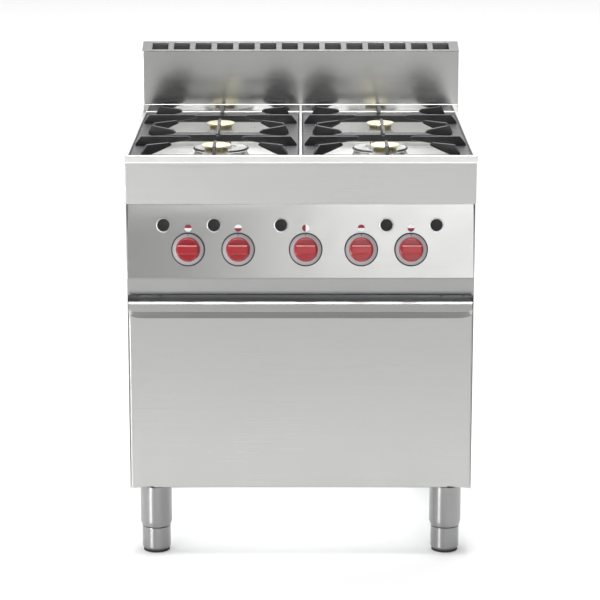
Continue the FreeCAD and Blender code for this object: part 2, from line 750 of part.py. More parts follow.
def oven_shelf():
    """Wire shelf: a rod frame with wires from front to back."""
    half = "cavity_half - 6"
    wires = [rod(f"shelf_side_{side}", 6, 430, f"{sign} * ({half})", 90, "shelf_height", "y")
             for side, sign in SIDES]
    wires += [rod(f"shelf_end_{depth}", 6, f"2 * ({half})", f"-({half})", depth, "shelf_height", "x")
              for depth in (90, 305, 520)]
    count = 17
    for index in range(1, count):
        x = f"-({half}) + 2 * ({half}) * {index} / {count}"
        wires.append(rod(f"shelf_wire_{index}", 4, 430, x, 90, "shelf_height + 1", "y"))
    wires += [corner_ball(f"shelf_ball_{side}_{depth}", 6, f"{sign} * ({half})", depth, "shelf_height")
              for side, sign in SIDES for depth in (90, 520)]
    return node(fuse("wire_shelf", wires), "oven_shelf")


def corner_ball(name, diameter, x, depth, z):
    ball = doc.addObject("Part::Sphere", name)
    bind(ball, Radius=f"{diameter} / 2")
    place(ball, x, depth, z)
    return ball


def door_seal():
    outer = block("seal_outer", (-286, 286), ("door_back + 0.6", "frame_plane"), (172, 506))
    inner = block("seal_inner", (-277, 277), ("door_back - 5", "frame_plane + 5"), (181, 497))
    return node(cut("seal", outer, [inner]), "door_seal")


# ---------------------------------------------------------------- door

def door_outer_panel():
    """Folded front skin with returns at the sides, top and bottom."""
    half = "door_half"
    fold = "door_face + gauge"
    front = block("door_front", (f"-{half}", half), ("door_face", fold), ("door_base", "door_top"))
    sides = mirrored_blocks("door_side", (f"{half} - gauge", half), (fold, "door_back"),
                            ("door_base", "door_top"))
    top = block("door_top_return", (f"-{half}", half), (fold, "door_back"),
                ("door_top - gauge", "door_top"))
    foot = block("door_foot_return", (-300, 300), (fold, 44), ("door_base", "door_base + gauge"))
    return node(fuse("door_skin", [front, top, foot] + sides), "door_outer_panel")


def door_inner_panel():
    half = "door_half - gauge"
    plate = block("door_liner", (f"-({half})", half), ("door_back - gauge", "door_back"),
                  (176, "door_top - gauge"))
    emboss = block("door_emboss", (-262, 262), ("door_back - gauge", "door_back + 3"), (200, 476))
    dish = block("door_dish", (-260.5, 260.5), ("door_back - 10", "door_back + gauge"), (201.5, 474.5))
    solid = fuse("door_back_solid", [plate, emboss])
    return node(cut("door_back_sheet", solid, [dish]), "door_inner_panel")


def door_insulation():
    slab = block("door_slab", (-322, 322), ("door_face + gauge", "door_back - gauge"), (176, 530))
    return node(cut("door_lagging", slab, [block("door_slab_notch", (-330, 330), (40, 60), (100, 170))]),
                "door_insulation")


def door_handle():
    """Full-width trough: lip, front face, sloping underside and closed ends."""
    edge = "front_edge"
    skin = 2
    face = -8
    rear = "door_face"
    corners = [(f"{edge} + {rear}", 506), (f"{edge} + {face}", 525), (f"{edge} + {face}", 543),
               (f"{edge} + {face} + 1.5", 545), (f"{edge} + {face} + 4", 545),
               (f"{edge} + {face} + 4", 542), (f"{edge} + {face} + {skin}", 541),
               (f"{edge} + {face} + {skin}", 526.5), (f"{edge} + {rear}", 509)]
    trough = padded("trough", "YZ_Plane", corners, 690, -345)
    end = [(f"{edge} + {rear}", 506), (f"{edge} + {face}", 525), (f"{edge} + {face}", 543),
           (f"{edge} + {rear}", 540)]
    caps = [padded(f"trough_end_{side}", "YZ_Plane", end, 2, f"{sign} * 344 - 1") for side, sign in SIDES]
    return node(fuse("handle", [trough] + caps), "door_handle")


def door_hinge_arms():
    """Ear plates in the door that turn on the cabinet's pins."""
    ears = []
    for plate in mirrored_blocks("ear", (330, 333), ("door_face + gauge", 40), ("door_base + 4", 230)):
        hole = rod(f"{plate.Name}_hole", "hinge_pin + 0.16", 720, -360, "hinge_depth", "hinge_height", "x")
        ears.append(cut(f"{plate.Name}_plate", plate, [hole]))
    return node(group("ears", ears), "door_hinge_arms")


def hinge_brackets():
    """Arms on the oven mouth that carry the door's two hinge pins."""
    brackets = []
    for side, sign in SIDES:
        low, high = (322, 328) if sign > 0 else (-328, -322)
        arm = block(f"{side}_arm", (low, high), ("hinge_depth", "frame_plane"),
                    ("hinge_height - 5.5", "hinge_height + 5.5"))
        nose = rod(f"{side}_nose", 11, 6, low, "hinge_depth", "hinge_height", "x")
        pin = rod(f"{side}_pin", "hinge_pin", 16, 322 if sign > 0 else -338, "hinge_depth",
                  "hinge_height", "x")
        brackets.append(fuse(f"{side}_bracket", [arm, nose, pin]))
    return node(group("brackets", brackets), "hinge_brackets")


# ---------------------------------------------------------------- legs

LEGS = [(f"{row}_{side}", f"{sign} * leg_offset", f"leg_{row}")
        for row in ("front", "rear") for side, sign in SIDES]


def leg_sleeves():
    """Tube with a tapered collar and a square plate under the base pan."""
    sleeves = []
    for name, x, depth in LEGS:
        tube = turned(f"sleeve_{name}", [
            (10.5, "sleeve_base"), ("foot_diameter / 2", "sleeve_base"),
            ("sleeve_diameter / 2", "sleeve_base + 9"),
            ("sleeve_diameter / 2", "leg_height - 4"), (10.5, "leg_height - 4")])
        place(tube, x, depth, 0)
        plate = block(f"sleeve_plate_{name}", (f"{x} - 40", f"{x} + 40"),
                      (f"{depth} - 20", f"{depth} + 34"), ("leg_height - 4", "leg_height"))
        sleeves.append(fuse(f"sleeve_set_{name}", [tube, plate]))
    return node(group("sleeves", sleeves), "leg_sleeves")


def foot(name, x, depth):
    """Screw-down foot with its stem up inside the sleeve."""
    radius = "foot_diameter / 2"
    body = turned(f"foot_body_{name}", [
        (0, 0), (f"{radius} - 2", 0), (radius, 2), (radius, "sleeve_base - 0.4"), (10, "sleeve_base - 0.4"),
        (10, 125), (0, 125)])
    place(body, x, depth, 0)
    return node(body, f"foot_{name}")


# ---------------------------------------------------------------- the whole range

for side, sign in SIDES:
    side_panel(side, sign)
rear_panel()
base_pan()
frame_rails()
front_frame()
screws("mouth_screw", "frame_screws", [(-329, 546), (-284, 546), (284, 546), (329, 546)], "frame_plane", -1)
screws("back_screw", "rear_screws", [(x, z) for x in (-339, 339) for z in (170, 350, 530, 710)],
       "worktop_depth", 1)
worktop()
splashback()
flue_grille()
flue_duct()
burner_bases()
burner_bodies()
for side, row, x, depth in burner_places():
    burner_cap(side, row, x, depth)
for side, sign in SIDES:
    pan_grid(side, sign)
control_panel()
dial_marks("red", (0, 180, 90, 0, 180))
dial_marks("white", (180, 0, 270, 180, 0))
igniter_bodies()
for index, x in enumerate(BUTTONS, start=1):
    igniter_button(index, x)
gas_taps()
for index, x in enumerate(KNOBS, start=1):
    tap_stem(index, x)
    knob(index, x)
gas_manifold()
burner_feed_pipes()
oven_liner()
oven_insulation()
oven_floor_plate()
oven_burner()
shelf_runners()
oven_shelf()
door_seal()
door_outer_panel()
door_inner_panel()
door_insulation()
door_handle()
door_hinge_arms()
hinge_brackets()
leg_sleeves()
for name, x, depth in LEGS:
    foot(name, x, depth)

doc.recompute()

faults = [thing.Name for thing in doc.Objects if "Invalid" in thing.State or "Error" in thing.State]
faults += [thing.Label for thing in nodes if thing.Shape.isNull() or not thing.Shape.isValid()]
if faults:
    raise RuntimeError("failed: " + ", ".join(faults))

os.makedirs("parts", exist_ok=True)
for thing in nodes:
    thing.Shape.exportStep(f"parts/{thing.Label}.step")
print(len(nodes), "nodes")
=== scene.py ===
import json
import math

import bmesh
import bpy
from mathutils import Matrix, Vector


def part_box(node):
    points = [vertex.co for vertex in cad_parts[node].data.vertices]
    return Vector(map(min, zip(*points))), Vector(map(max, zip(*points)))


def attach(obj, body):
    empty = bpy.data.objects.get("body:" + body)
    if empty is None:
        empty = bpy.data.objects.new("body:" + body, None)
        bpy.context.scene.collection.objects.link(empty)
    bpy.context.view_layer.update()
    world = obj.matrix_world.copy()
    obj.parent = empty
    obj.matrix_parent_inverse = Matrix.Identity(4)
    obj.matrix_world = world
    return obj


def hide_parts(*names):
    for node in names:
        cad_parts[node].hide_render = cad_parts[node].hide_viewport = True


# A four-burner gas range over an oven. Metres, X to the right, Y to the back, Z up, floor at Z = 0.
# Depths count back from the worktop's front edge.

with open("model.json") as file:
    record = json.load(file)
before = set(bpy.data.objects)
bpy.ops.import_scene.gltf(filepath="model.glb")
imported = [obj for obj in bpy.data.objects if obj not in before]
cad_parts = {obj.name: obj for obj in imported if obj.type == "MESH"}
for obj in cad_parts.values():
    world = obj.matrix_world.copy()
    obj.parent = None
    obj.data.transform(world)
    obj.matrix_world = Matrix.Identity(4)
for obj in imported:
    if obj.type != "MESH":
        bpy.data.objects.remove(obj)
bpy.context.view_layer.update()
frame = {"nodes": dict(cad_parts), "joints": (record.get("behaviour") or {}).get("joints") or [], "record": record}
nodes = frame["nodes"]
joints = {joint["name"]: joint for joint in frame["joints"]}

SIDES = (("left", -1), ("right", 1))
ROWS = ("front", "rear")

worktop_low, worktop_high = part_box("worktop")
grid_low, grid_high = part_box("right_pan_grid")
door_low, door_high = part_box("door_outer_panel")
handle_low, handle_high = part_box("door_handle")
panel_low, panel_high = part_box("control_panel")
splash_low, splash_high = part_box("splashback")
grille_low, grille_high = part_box("flue_grille")

FRONT = worktop_low.y
BACK = worktop_high.y
HALF = worktop_high.x
APRON = worktop_low.z
UPSTAND = 0.015
RIM = worktop_high.z - UPSTAND
LEDGE = grid_low.z - 0.0003
WELL = LEDGE - 0.055
FACING = 0.9  # cosine above which a face counts as turned one way
NEARLY_STRAIGHT = math.radians(176)
SHARE = 0.45  # of a run, at most, goes into the arc at one end


# ---------------------------------------------------------------- making meshes

def thing(name, mesh):
    made = bpy.data.objects.new(name, mesh)
    bpy.context.scene.collection.objects.link(made)
    return made


def cage(name, points, faces=(), edges=()):
    mesh = bpy.data.meshes.new(name)
    mesh.from_pydata([tuple(point) for point in points], list(edges), list(faces))
    return thing(name, mesh)


def modify(piece, kind, **settings):
    modifier = piece.modifiers.new(kind.title(), kind)
    for setting, amount in settings.items():
        setattr(modifier, setting, amount)


def keep_flats(piece):
    """Smooth shading that leaves flat faces flat beside their rounded edges."""
    modify(piece, "WEIGHTED_NORMAL", keep_sharp=True, weight=80)
    piece.data.shade_smooth()


def fold_sheet(piece, bend, gauge, angle=35, segments=3, **settings):
    """Round the folds of a sheet and give it its gauge, inwards from the outer face."""
    modify(piece, "BEVEL", width=bend, segments=segments, limit_method="ANGLE",
           angle_limit=math.radians(angle))
    modify(piece, "SOLIDIFY", thickness=gauge, offset=-1.0, **settings)
    keep_flats(piece)


def reshape(piece, change):
    """Put the piece's mesh through change(shape)."""
    shape = bmesh.new()
    shape.from_mesh(piece.data)
    change(shape)
    shape.to_mesh(piece.data)
    shape.free()


def drop_loose(shape):
    """Take out the points that no face uses."""
    bmesh.ops.delete(shape, geom=[v for v in shape.verts if not v.link_faces], context="VERTS")


def turn_out(shape):
    """Turn every face the same way, outwards on a closed shape."""
    bmesh.ops.recalc_face_normals(shape, faces=shape.faces)


def soften(piece, width, segments=2, angle=30):
    """Round the edges and keep the flats flat."""
    modify(piece, "BEVEL", width=width, segments=segments, limit_method="ANGLE",
           angle_limit=math.radians(angle), use_clamp_overlap=True, miter_outer="MITER_ARC")
    keep_flats(piece)
    return piece


def settle(piece, place=Matrix()):
    """Apply the stack and the place, so that the object sits at the origin."""
    graph = bpy.context.evaluated_depsgraph_get()
    mesh = bpy.data.meshes.new_from_object(piece.evaluated_get(graph))
    mesh.transform(place)
    old, name = piece.data, piece.name
    bpy.data.objects.remove(piece)
    bpy.data.meshes.remove(old)
    mesh.name = name
    return thing(name, mesh)


def joined(name, pieces):
    """One object from several settled ones."""
    shape = bmesh.new()
    for piece in pieces:
        shape.from_mesh(piece.data)
        old = piece.data
        bpy.data.objects.remove(piece)
        bpy.data.meshes.remove(old)
    mesh = bpy.data.meshes.new(name)
    shape.to_mesh(mesh)
    shape.free()
    mesh.shade_smooth()
    return thing(name, mesh)


def rounded(points, radius, steps=3, closed=False):
    """A polyline with each corner turned into an arc of about that radius."""
    count = len(points)
    out = []
    for index, point in enumerate(points):
        here = Vector(point)
        if not closed and index in (0, count - 1):
            out.append(here)
            continue
        before = Vector(points[index - 1]) - here
        after = Vector(points[(index + 1) % count]) - here
        turn = before.angle(after, math.pi)
        if turn > NEARLY_STRAIGHT:
            out.append(here)
            continue
        reach = min(radius / math.tan(turn / 2), before.length * SHARE, after.length * SHARE)
        start, end = here + before.normalized() * reach, here + after.normalized() * reach
        for step in range(steps + 1):
            share = step / steps
            out.append(start * (1 - share) ** 2 + here * 2 * share * (1 - share) + end * share ** 2)
    return out


def turned(name, profile, steps=64, ease=0.0006, closed=False, place=Matrix()):
    """A lathe shape from (radius, height) corners, listed from top to bottom."""
    line = rounded([(radius, 0, height) for radius, height in profile], ease, closed=closed)
    count = len(line)
    edges = [(index, index + 1) for index in range(count - 1)]
    if closed:
        edges.append((count - 1, 0))
    piece = cage(name, line, edges=edges)
    modify(piece, "SCREW", steps=steps, render_steps=steps, use_merge_vertices=True, merge_threshold=0.00001,
           use_smooth_shade=True)
    modify(piece, "WEIGHTED_NORMAL", keep_sharp=True, weight=80)
    return settle(piece, place)


def box_cage(name, low, high):
    """A plain box between two corners."""
    (x0, y0, z0), (x1, y1, z1) = low, high
    points = [(x0, y0, z0), (x1, y0, z0), (x1, y1, z0), (x0, y1, z0),
              (x0, y0, z1), (x1, y0, z1), (x1, y1, z1), (x0, y1, z1)]
    faces = [(0, 3, 2, 1), (4, 5, 6, 7), (0, 1, 5, 4), (1, 2, 6, 5), (2, 3, 7, 6), (3, 0, 4, 7)]
    return cage(name, points, faces)


def prism(name, outline, x0, x1):
    """A (y, z) outline, listed clockwise seen from the right, run from x0 to x1 with both ends closed."""
    count = len(outline)
    points = [(x0, y, z) for y, z in outline] + [(x1, y, z) for y, z in outline]
    faces = [tuple(range(count)), tuple(reversed(range(count, 2 * count)))]
    faces += [(index, index + count, (index + 1) % count + count, (index + 1) % count)
              for index in range(count)]
    return outward(cage(name, points, faces))


def outward(piece):
    """Turn every face of a closed cage outwards."""
    reshape(piece, turn_out)
    return piece


def sheet_of_cells(name, xs, ys, height, cells):
    """Squares between the lines xs and ys, wherever cells(i, j) says so; height(x, y) lifts them."""
    index = {}
    points = []
    for i, x in enumerate(xs):
        for j, y in enumerate(ys):
            index[i, j] = len(points)
            points.append((x, y, height(x, y)))
    faces = [(index[i, j], index[i + 1, j], index[i + 1, j + 1], index[i, j + 1])
             for i in range(len(xs) - 1) for j in range(len(ys) - 1) if cells(i, j)]
    piece = cage(name, points, faces)
    reshape(piece, drop_loose)
    return piece


def finish_piece(piece, body, slot, material, *replaced):
    piece.data.materials.clear()
    piece.data.materials.append(material)
    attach(piece, body)
    if replaced:
        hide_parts(*replaced)
    return piece


# ---------------------------------------------------------------- shader groups

def group(name, inputs, outputs):
    tree = bpy.data.node_groups.new(name, "ShaderNodeTree")
    for label, kind, default in inputs:
        socket = tree.interface.new_socket(label, in_out="INPUT", socket_type=kind)
        socket.default_value = default
    for label, kind in outputs:
        tree.interface.new_socket(label, in_out="OUTPUT", socket_type=kind)
    return tree, tree.nodes.new("NodeGroupInput"), tree.nodes.new("NodeGroupOutput")


def node(tree, kind, **settings):
    made = tree.nodes.new(kind)
    for setting, amount in settings.items():
        if setting in made.inputs:
            made.inputs[setting].default_value = amount
        else:
            setattr(made, setting, amount)
    return made


def wire(tree, start, end):
    tree.links.new(start, end)


def feed(tree, amount, socket):
    """Set a socket to a number, or link another socket into it."""
    if isinstance(amount, (int, float)):
        socket.default_value = amount
    else:
        wire(tree, amount, socket)


def math_node(tree, operation, first, second):
    made = tree.nodes.new("ShaderNodeMath")
    made.operation = operation
    feed(tree, first, made.inputs[0])
    feed(tree, second, made.inputs[1])
    return made.outputs[0]


def spread(tree, fac, low, high, from_low=0.0, from_high=1.0):
    """Map a value into a range."""
    made = tree.nodes.new("ShaderNodeMapRange")
    made.inputs["From Min"].default_value = from_low
    made.inputs["From Max"].default_value = from_high
    feed(tree, low, made.inputs["To Min"])
    feed(tree, high, made.inputs["To Max"])
    wire(tree, fac, made.inputs["Value"])
    return made.outputs["Result"]


def brushed_group():
    """Long fine scratches, and slow clouds in how they catch light."""
    tree, given, out = group("Brushed grain", [
        ("Stretch", "NodeSocketVector", (6.0, 900.0, 900.0)), ("Cloud size", "NodeSocketFloat", 3.0),
    ], [("Scratch", "NodeSocketFloat"), ("Cloud", "NodeSocketFloat")])
    where = node(tree, "ShaderNodeTexCoord")
    stretch = node(tree, "ShaderNodeVectorMath", operation="MULTIPLY")
    wire(tree, where.outputs["Object"], stretch.inputs[0])
    wire(tree, given.outputs["Stretch"], stretch.inputs[1])
    fine = node(tree, "ShaderNodeTexNoise", Scale=1.0, Detail=3.0, Roughness=0.6)
    wire(tree, stretch.outputs[0], fine.inputs["Vector"])
    cloud = node(tree, "ShaderNodeTexNoise", Detail=2.0)
    wire(tree, where.outputs["Object"], cloud.inputs["Vector"])
    wire(tree, given.outputs["Cloud size"], cloud.inputs["Scale"])
    wire(tree, fine.outputs[0], out.inputs["Scratch"])
    wire(tree, cloud.outputs[0], out.inputs["Cloud"])
    return tree


def spot_group():
    """Sparse specks and a soft mottle for cast, moulded and enamelled skins."""
    tree, given, out = group("Speckled skin", [
        ("Speck size", "NodeSocketFloat", 600.0), ("Mottle size", "NodeSocketFloat", 40.0),
    ], [("Speck", "NodeSocketFloat"), ("Mottle", "NodeSocketFloat"), ("Height", "NodeSocketFloat")])
    where = node(tree, "ShaderNodeTexCoord")
    cells = node(tree, "ShaderNodeTexVoronoi")
    wire(tree, where.outputs["Object"], cells.inputs["Vector"])
    wire(tree, given.outputs["Speck size"], cells.inputs["Scale"])
    mottle = node(tree, "ShaderNodeTexNoise", Detail=4.0)
    wire(tree, where.outputs["Object"], mottle.inputs["Vector"])
    wire(tree, given.outputs["Mottle size"], mottle.inputs["Scale"])
    grit = node(tree, "ShaderNodeTexNoise", Detail=3.0)
    wire(tree, where.outputs["Object"], grit.inputs["Vector"])
    wire(tree, given.outputs["Speck size"], grit.inputs["Scale"])
    wire(tree, spread(tree, cells.outputs["Distance"], 1.0, 0.0, 0.05, 0.22), out.inputs["Speck"])
    wire(tree, mottle.outputs[0], out.inputs["Mottle"])
    wire(tree, math_node(tree, "ADD", grit.outputs[0], mottle.outputs[0]), out.inputs["Height"])
    return tree


def smudge_group():
    """Faint wipe marks and finger marks."""
    tree, given, out = group("Wipe marks", [("Size", "NodeSocketFloat", 7.0)], [("Mark", "NodeSocketFloat")])
    where = node(tree, "ShaderNodeTexCoord")
    warp = node(tree, "ShaderNodeTexNoise", Detail=5.0, Roughness=0.65, Distortion=0.8)
    wire(tree, where.outputs["Object"], warp.inputs["Vector"])
    wire(tree, given.outputs["Size"], warp.inputs["Scale"])
    wire(tree, spread(tree, warp.outputs[0], 0.0, 1.0, 0.45, 0.72), out.inputs["Mark"])
    return tree


BRUSHED = brushed_group()
SPECKLED = spot_group()
WIPED = smudge_group()


def use(tree, shared, **inputs):
    made = tree.nodes.new("ShaderNodeGroup")
    made.node_tree = shared
    for label, amount in inputs.items():
        made.inputs[label.replace("_", " ")].default_value = amount
    return made


def blend_colours(tree, fac, first, second):
    made = tree.nodes.new("ShaderNodeMix")
    made.data_type = "RGBA"
    wire(tree, fac, made.inputs["Factor"])
    for label, colour in (("A", first), ("B", second)):
        socket = next(s for s in made.inputs if s.name == label and s.type == "RGBA")
        if isinstance(colour, tuple):
            socket.default_value = (*colour, 1.0)
        else:
            wire(tree, colour, socket)
    return next(s for s in made.outputs if s.type == "RGBA")


def material(name, **constants):
    made = bpy.data.materials.new(name)
    made.use_nodes = True
    shader = made.node_tree.nodes["Principled BSDF"]
    for label, amount in constants.items():
        shader.inputs[label.replace("_", " ")].default_value = amount
    return made, made.node_tree, shader


def bump(tree, shader, height, strength, distance):
    made = node(tree, "ShaderNodeBump", Strength=strength, Distance=distance)
    wire(tree, height, made.inputs["Height"])
    wire(tree, made.outputs["Normal"], shader.inputs["Normal"])


def steel(name, dark, light, stretch, rough, grain=0.05, relief=0.05, cloud=3.0, metallic=1.0, around=0.0):
    """Metal with a directional finish; around spreads its highlights up and down on upright faces."""
    made, tree, shader = material(name, Metallic=metallic)
    if around:
        shader.inputs["Anisotropic"].default_value = around
        shader.inputs["Anisotropic Rotation"].default_value = 0.25
        tangent = node(tree, "ShaderNodeTangent", direction_type="RADIAL", axis="Z")
        wire(tree, tangent.outputs[0], shader.inputs["Tangent"])
    brushed = use(tree, BRUSHED, Stretch=stretch, Cloud_size=cloud)
    wiped = use(tree, WIPED)
    tone = math_node(tree, "ADD", math_node(tree, "MULTIPLY", brushed.outputs["Scratch"], 0.7),
                     math_node(tree, "MULTIPLY", brushed.outputs["Cloud"], 0.3))
    wire(tree, blend_colours(tree, tone, dark, light), shader.inputs["Base Color"])
    base = spread(tree, brushed.outputs["Scratch"], rough - grain, rough + grain, 0.3, 0.7)
    wire(tree, math_node(tree, "ADD", base, math_node(tree, "MULTIPLY", wiped.outputs["Mark"], 0.03)),
         shader.inputs["Roughness"])
    bump(tree, shader, brushed.outputs["Scratch"], relief, 0.0002)
    return made


def speckled(name, dark, light, rough, speck=600.0, mottle=40.0, relief=0.2, metallic=0.0, **constants):
    """Paint, enamel, plastic or casting with a slight skin."""
    made, tree, shader = material(name, Metallic=metallic, **constants)
    skin = use(tree, SPECKLED, Speck_size=speck, Mottle_size=mottle)
    wire(tree, blend_colours(tree, skin.outputs["Mottle"], dark, light), shader.inputs["Base Color"])
    wire(tree, spread(tree, skin.outputs["Mottle"], rough - 0.06, rough + 0.06, 0.3, 0.7),
         shader.inputs["Roughness"])
    bump(tree, shader, skin.outputs["Height"], relief, 0.0003)
    return made


def enamel():
    """Dark vitreous enamel with pale flecks."""
    made, tree, shader = material("Oven enamel", Metallic=0.0, Coat_Weight=0.4, Coat_Roughness=0.12)
    skin = use(tree, SPECKLED, Speck_size=260.0, Mottle_size=12.0)
    ground = blend_colours(tree, skin.outputs["Mottle"], (0.018, 0.02, 0.026), (0.035, 0.038, 0.046))
    flecked = blend_colours(tree, skin.outputs["Speck"], ground, (0.32, 0.34, 0.38))
    wire(tree, flecked, shader.inputs["Base Color"])
    wire(tree, spread(tree, skin.outputs["Mottle"], 0.18, 0.34), shader.inputs["Roughness"])
    bump(tree, shader, skin.outputs["Height"], 0.15, 0.0003)
    return made


def spangled(name):
    """Zinc-coated sheet with its crystal pattern."""
    made, tree, shader = material(name, Metallic=1.0)
    where = node(tree, "ShaderNodeTexCoord")
    cells = node(tree, "ShaderNodeTexVoronoi", Scale=190.0)
    wire(tree, where.outputs["Object"], cells.inputs["Vector"])
    shade = node(tree, "ShaderNodeRGBToBW")
    wire(tree, cells.outputs["Color"], shade.inputs[0])
    wire(tree, blend_colours(tree, shade.outputs[0], (0.38, 0.39, 0.40), (0.47, 0.48, 0.49)),
         shader.inputs["Base Color"])
    wiped = use(tree, WIPED)
    base = spread(tree, shade.outputs[0], 0.36, 0.5)
    wire(tree, math_node(tree, "ADD", base, math_node(tree, "MULTIPLY", wiped.outputs["Mark"], 0.08)),
         shader.inputs["Roughness"])
    bump(tree, shader, shade.outputs[0], 0.05, 0.0003)
    return made


def heat_tinted():
    """Steel tube blued and browned by flame."""
    made, tree, shader = material("Heat-stained steel", Metallic=1.0)
    wiped = use(tree, WIPED, Size=14.0)
    skin = use(tree, SPECKLED, Speck_size=400.0, Mottle_size=18.0)
    stain = blend_colours(tree, wiped.outputs["Mark"], (0.32, 0.3, 0.28), (0.2, 0.13, 0.09))
    blued = blend_colours(tree, skin.outputs["Mottle"], stain, (0.3, 0.32, 0.38))
    wire(tree, blued, shader.inputs["Base Color"])
    wire(tree, spread(tree, skin.outputs["Mottle"], 0.3, 0.55), shader.inputs["Roughness"])
    bump(tree, shader, skin.outputs["Height"], 0.15, 0.0003)
    return made


def glass_wool():
    made, tree, shader = material("Glass wool", Roughness=0.95, Sheen_Weight=0.3)
    where = node(tree, "ShaderNodeTexCoord")
    fibre = node(tree, "ShaderNodeTexNoise", Scale=220.0, Detail=6.0, Roughness=0.7, Distortion=2.5)
    wire(tree, where.outputs["Object"], fibre.inputs["Vector"])
    wire(tree, blend_colours(tree, fibre.outputs[0], (0.5, 0.41, 0.2), (0.86, 0.8, 0.58)),
         shader.inputs["Base Color"])
    bump(tree, shader, fibre.outputs[0], 0.8, 0.002)
    return made


# How far a pattern is drawn out: cycles a metre along X, Y and Z, so a small number is the way of the grain.
ACROSS = (3.0, 1400.0, 1400.0)
FINE_ACROSS = (3.0, 1600.0, 1600.0)
EVEN = (300.0, 300.0, 300.0)
BUFFED = (60.0, 60.0, 60.0)

SATIN_ACROSS = steel("Satin steel, grain across", (0.53, 0.53, 0.525), (0.60, 0.60, 0.595),
                     (4.0, 1400.0, 1400.0), 0.3, 0.03, metallic=0.9)
WELL_STEEL = steel("Bright well steel", (0.62, 0.62, 0.61), (0.70, 0.70, 0.69), EVEN, 0.3, 0.03,
                   metallic=0.7)
SATIN_UPRIGHT = steel("Satin steel, grain upright", (0.50, 0.50, 0.49), (0.62, 0.62, 0.61),
                      (1400.0, 1400.0, 4.0), 0.27)
POLISHED = steel("Polished steel", (0.84, 0.84, 0.83), (0.9, 0.9, 0.89), BUFFED, 0.2, 0.02, 0.03,
                 metallic=0.8)
PANEL_STEEL = steel("Satin steel, control panel", (0.43, 0.43, 0.425), (0.48, 0.48, 0.475), FINE_ACROSS,
                    0.24, 0.02, 0.03, around=0.55)
# A darker copy of the panel steel for the tucked fascia under the crease: painted shade.
FASCIA_SHADE_STEEL = steel("Satin steel, fascia", (0.27, 0.27, 0.268), (0.31, 0.31, 0.308), FINE_ACROSS, 0.24,
                     0.02, 0.03, around=0.55)
GRILLE_STEEL = steel("Satin steel, grille", (0.17, 0.17, 0.167), (0.21, 0.21, 0.207), ACROSS, 0.3)
SKIRT = steel("Silvered knob skirt", (0.34, 0.32, 0.33), (0.42, 0.40, 0.41), (500.0, 500.0, 500.0), 0.45,
              metallic=0.35)
ZINC = spangled("Zinc-coated steel")
CHROME = steel("Bright plating", (0.74, 0.74, 0.75), (0.84, 0.84, 0.85), (90.0, 90.0, 90.0), 0.08, 0.02,
               0.04)
DOOR_STEEL = steel("Satin steel, door", (0.43, 0.43, 0.425), (0.49, 0.49, 0.485), ACROSS, 0.3, 0.03, 0.04,
                   around=0.55)
SPLASH_STEEL = steel("Satin steel, splashback", (0.52, 0.52, 0.51), (0.59, 0.59, 0.58), ACROSS, 0.13,
                     0.02, 0.03, around=0.45)
UPSTAND_STEEL = steel("Mirror steel, upstand", (0.72, 0.72, 0.71), (0.78, 0.78, 0.77), BUFFED, 0.07, 0.01,
                      0.02)
BACK_STEEL = steel("Mill-finish steel, back", (0.17, 0.17, 0.17), (0.22, 0.22, 0.22), (4.0, 900.0, 900.0),
                   0.42)
SCREW_STEEL = steel("Dull screw steel", (0.2, 0.2, 0.2), (0.28, 0.28, 0.28), EVEN, 0.4)
# A darker steel for the legs and sleeves: painted shade standing in for the dark surroundings they reflect.
LEG_SHADE_STEEL = steel("Satin steel, legs", (0.27, 0.27, 0.27), (0.32, 0.32, 0.32), (900.0, 900.0, 5.0), 0.3,
                  0.02, around=0.8)
HANDLE_STEEL = steel("Satin steel, handle", (0.34, 0.34, 0.335), (0.40, 0.40, 0.395), ACROSS, 0.22, 0.02,
                     0.03)
ALUMINIUM = steel("Drawn aluminium", (0.58, 0.58, 0.58), (0.7, 0.7, 0.7), EVEN, 0.32)
ENAMEL = enamel()
# Also the black ring at each spill disc's edge, which is painted shade at the disc's rim.
CAST_AND_RIM_SHADE = speckled("Black enamelled casting", (0.012, 0.012, 0.013), (0.026, 0.026, 0.028), 0.42, 420.0,
                50.0, 0.3, Coat_Weight=0.05, Coat_Roughness=0.25, Specular_IOR_Level=0.3)
BRASS_CAP = steel("Machined pale brass", (0.56, 0.51, 0.33), (0.66, 0.61, 0.43), (260.0, 260.0, 260.0),
                  0.34, 0.04, metallic=0.85)
# A darker olive copy of the brass for the crown under the cap: painted shade.
BRASS_SHADED = steel("Olive brass crown", (0.30, 0.26, 0.13), (0.42, 0.37, 0.2), EVEN, 0.4, 0.06)
HUB_ALLOY = speckled("Pale cast alloy", (0.34, 0.33, 0.31), (0.46, 0.45, 0.42), 0.42, 500.0, 60.0, 0.4, 0.6)
BRASS_TAP = steel("Turned tap brass", (0.6, 0.46, 0.2), (0.72, 0.58, 0.28), EVEN, 0.26, 0.05)
PIPE_PAINT = speckled("Grey pipe paint", (0.1, 0.105, 0.11), (0.17, 0.175, 0.18), 0.45, 300.0, 30.0, 0.3)
HEAT_STAINED = heat_tinted()
RED = speckled("Red moulding", (0.26, 0.008, 0.014), (0.31, 0.011, 0.018), 0.2, 900.0, 30.0, 0.05,
               Specular_IOR_Level=0.45)
# Also the ring round each knob skirt's edge, which is painted shade for the skirt's dark outline.
BLACK_AND_EDGE_SHADE = speckled("Black moulding", (0.010, 0.010, 0.011), (0.018, 0.018, 0.020), 0.4, 900.0, 40.0, 0.12,
                 Specular_IOR_Level=0.25)
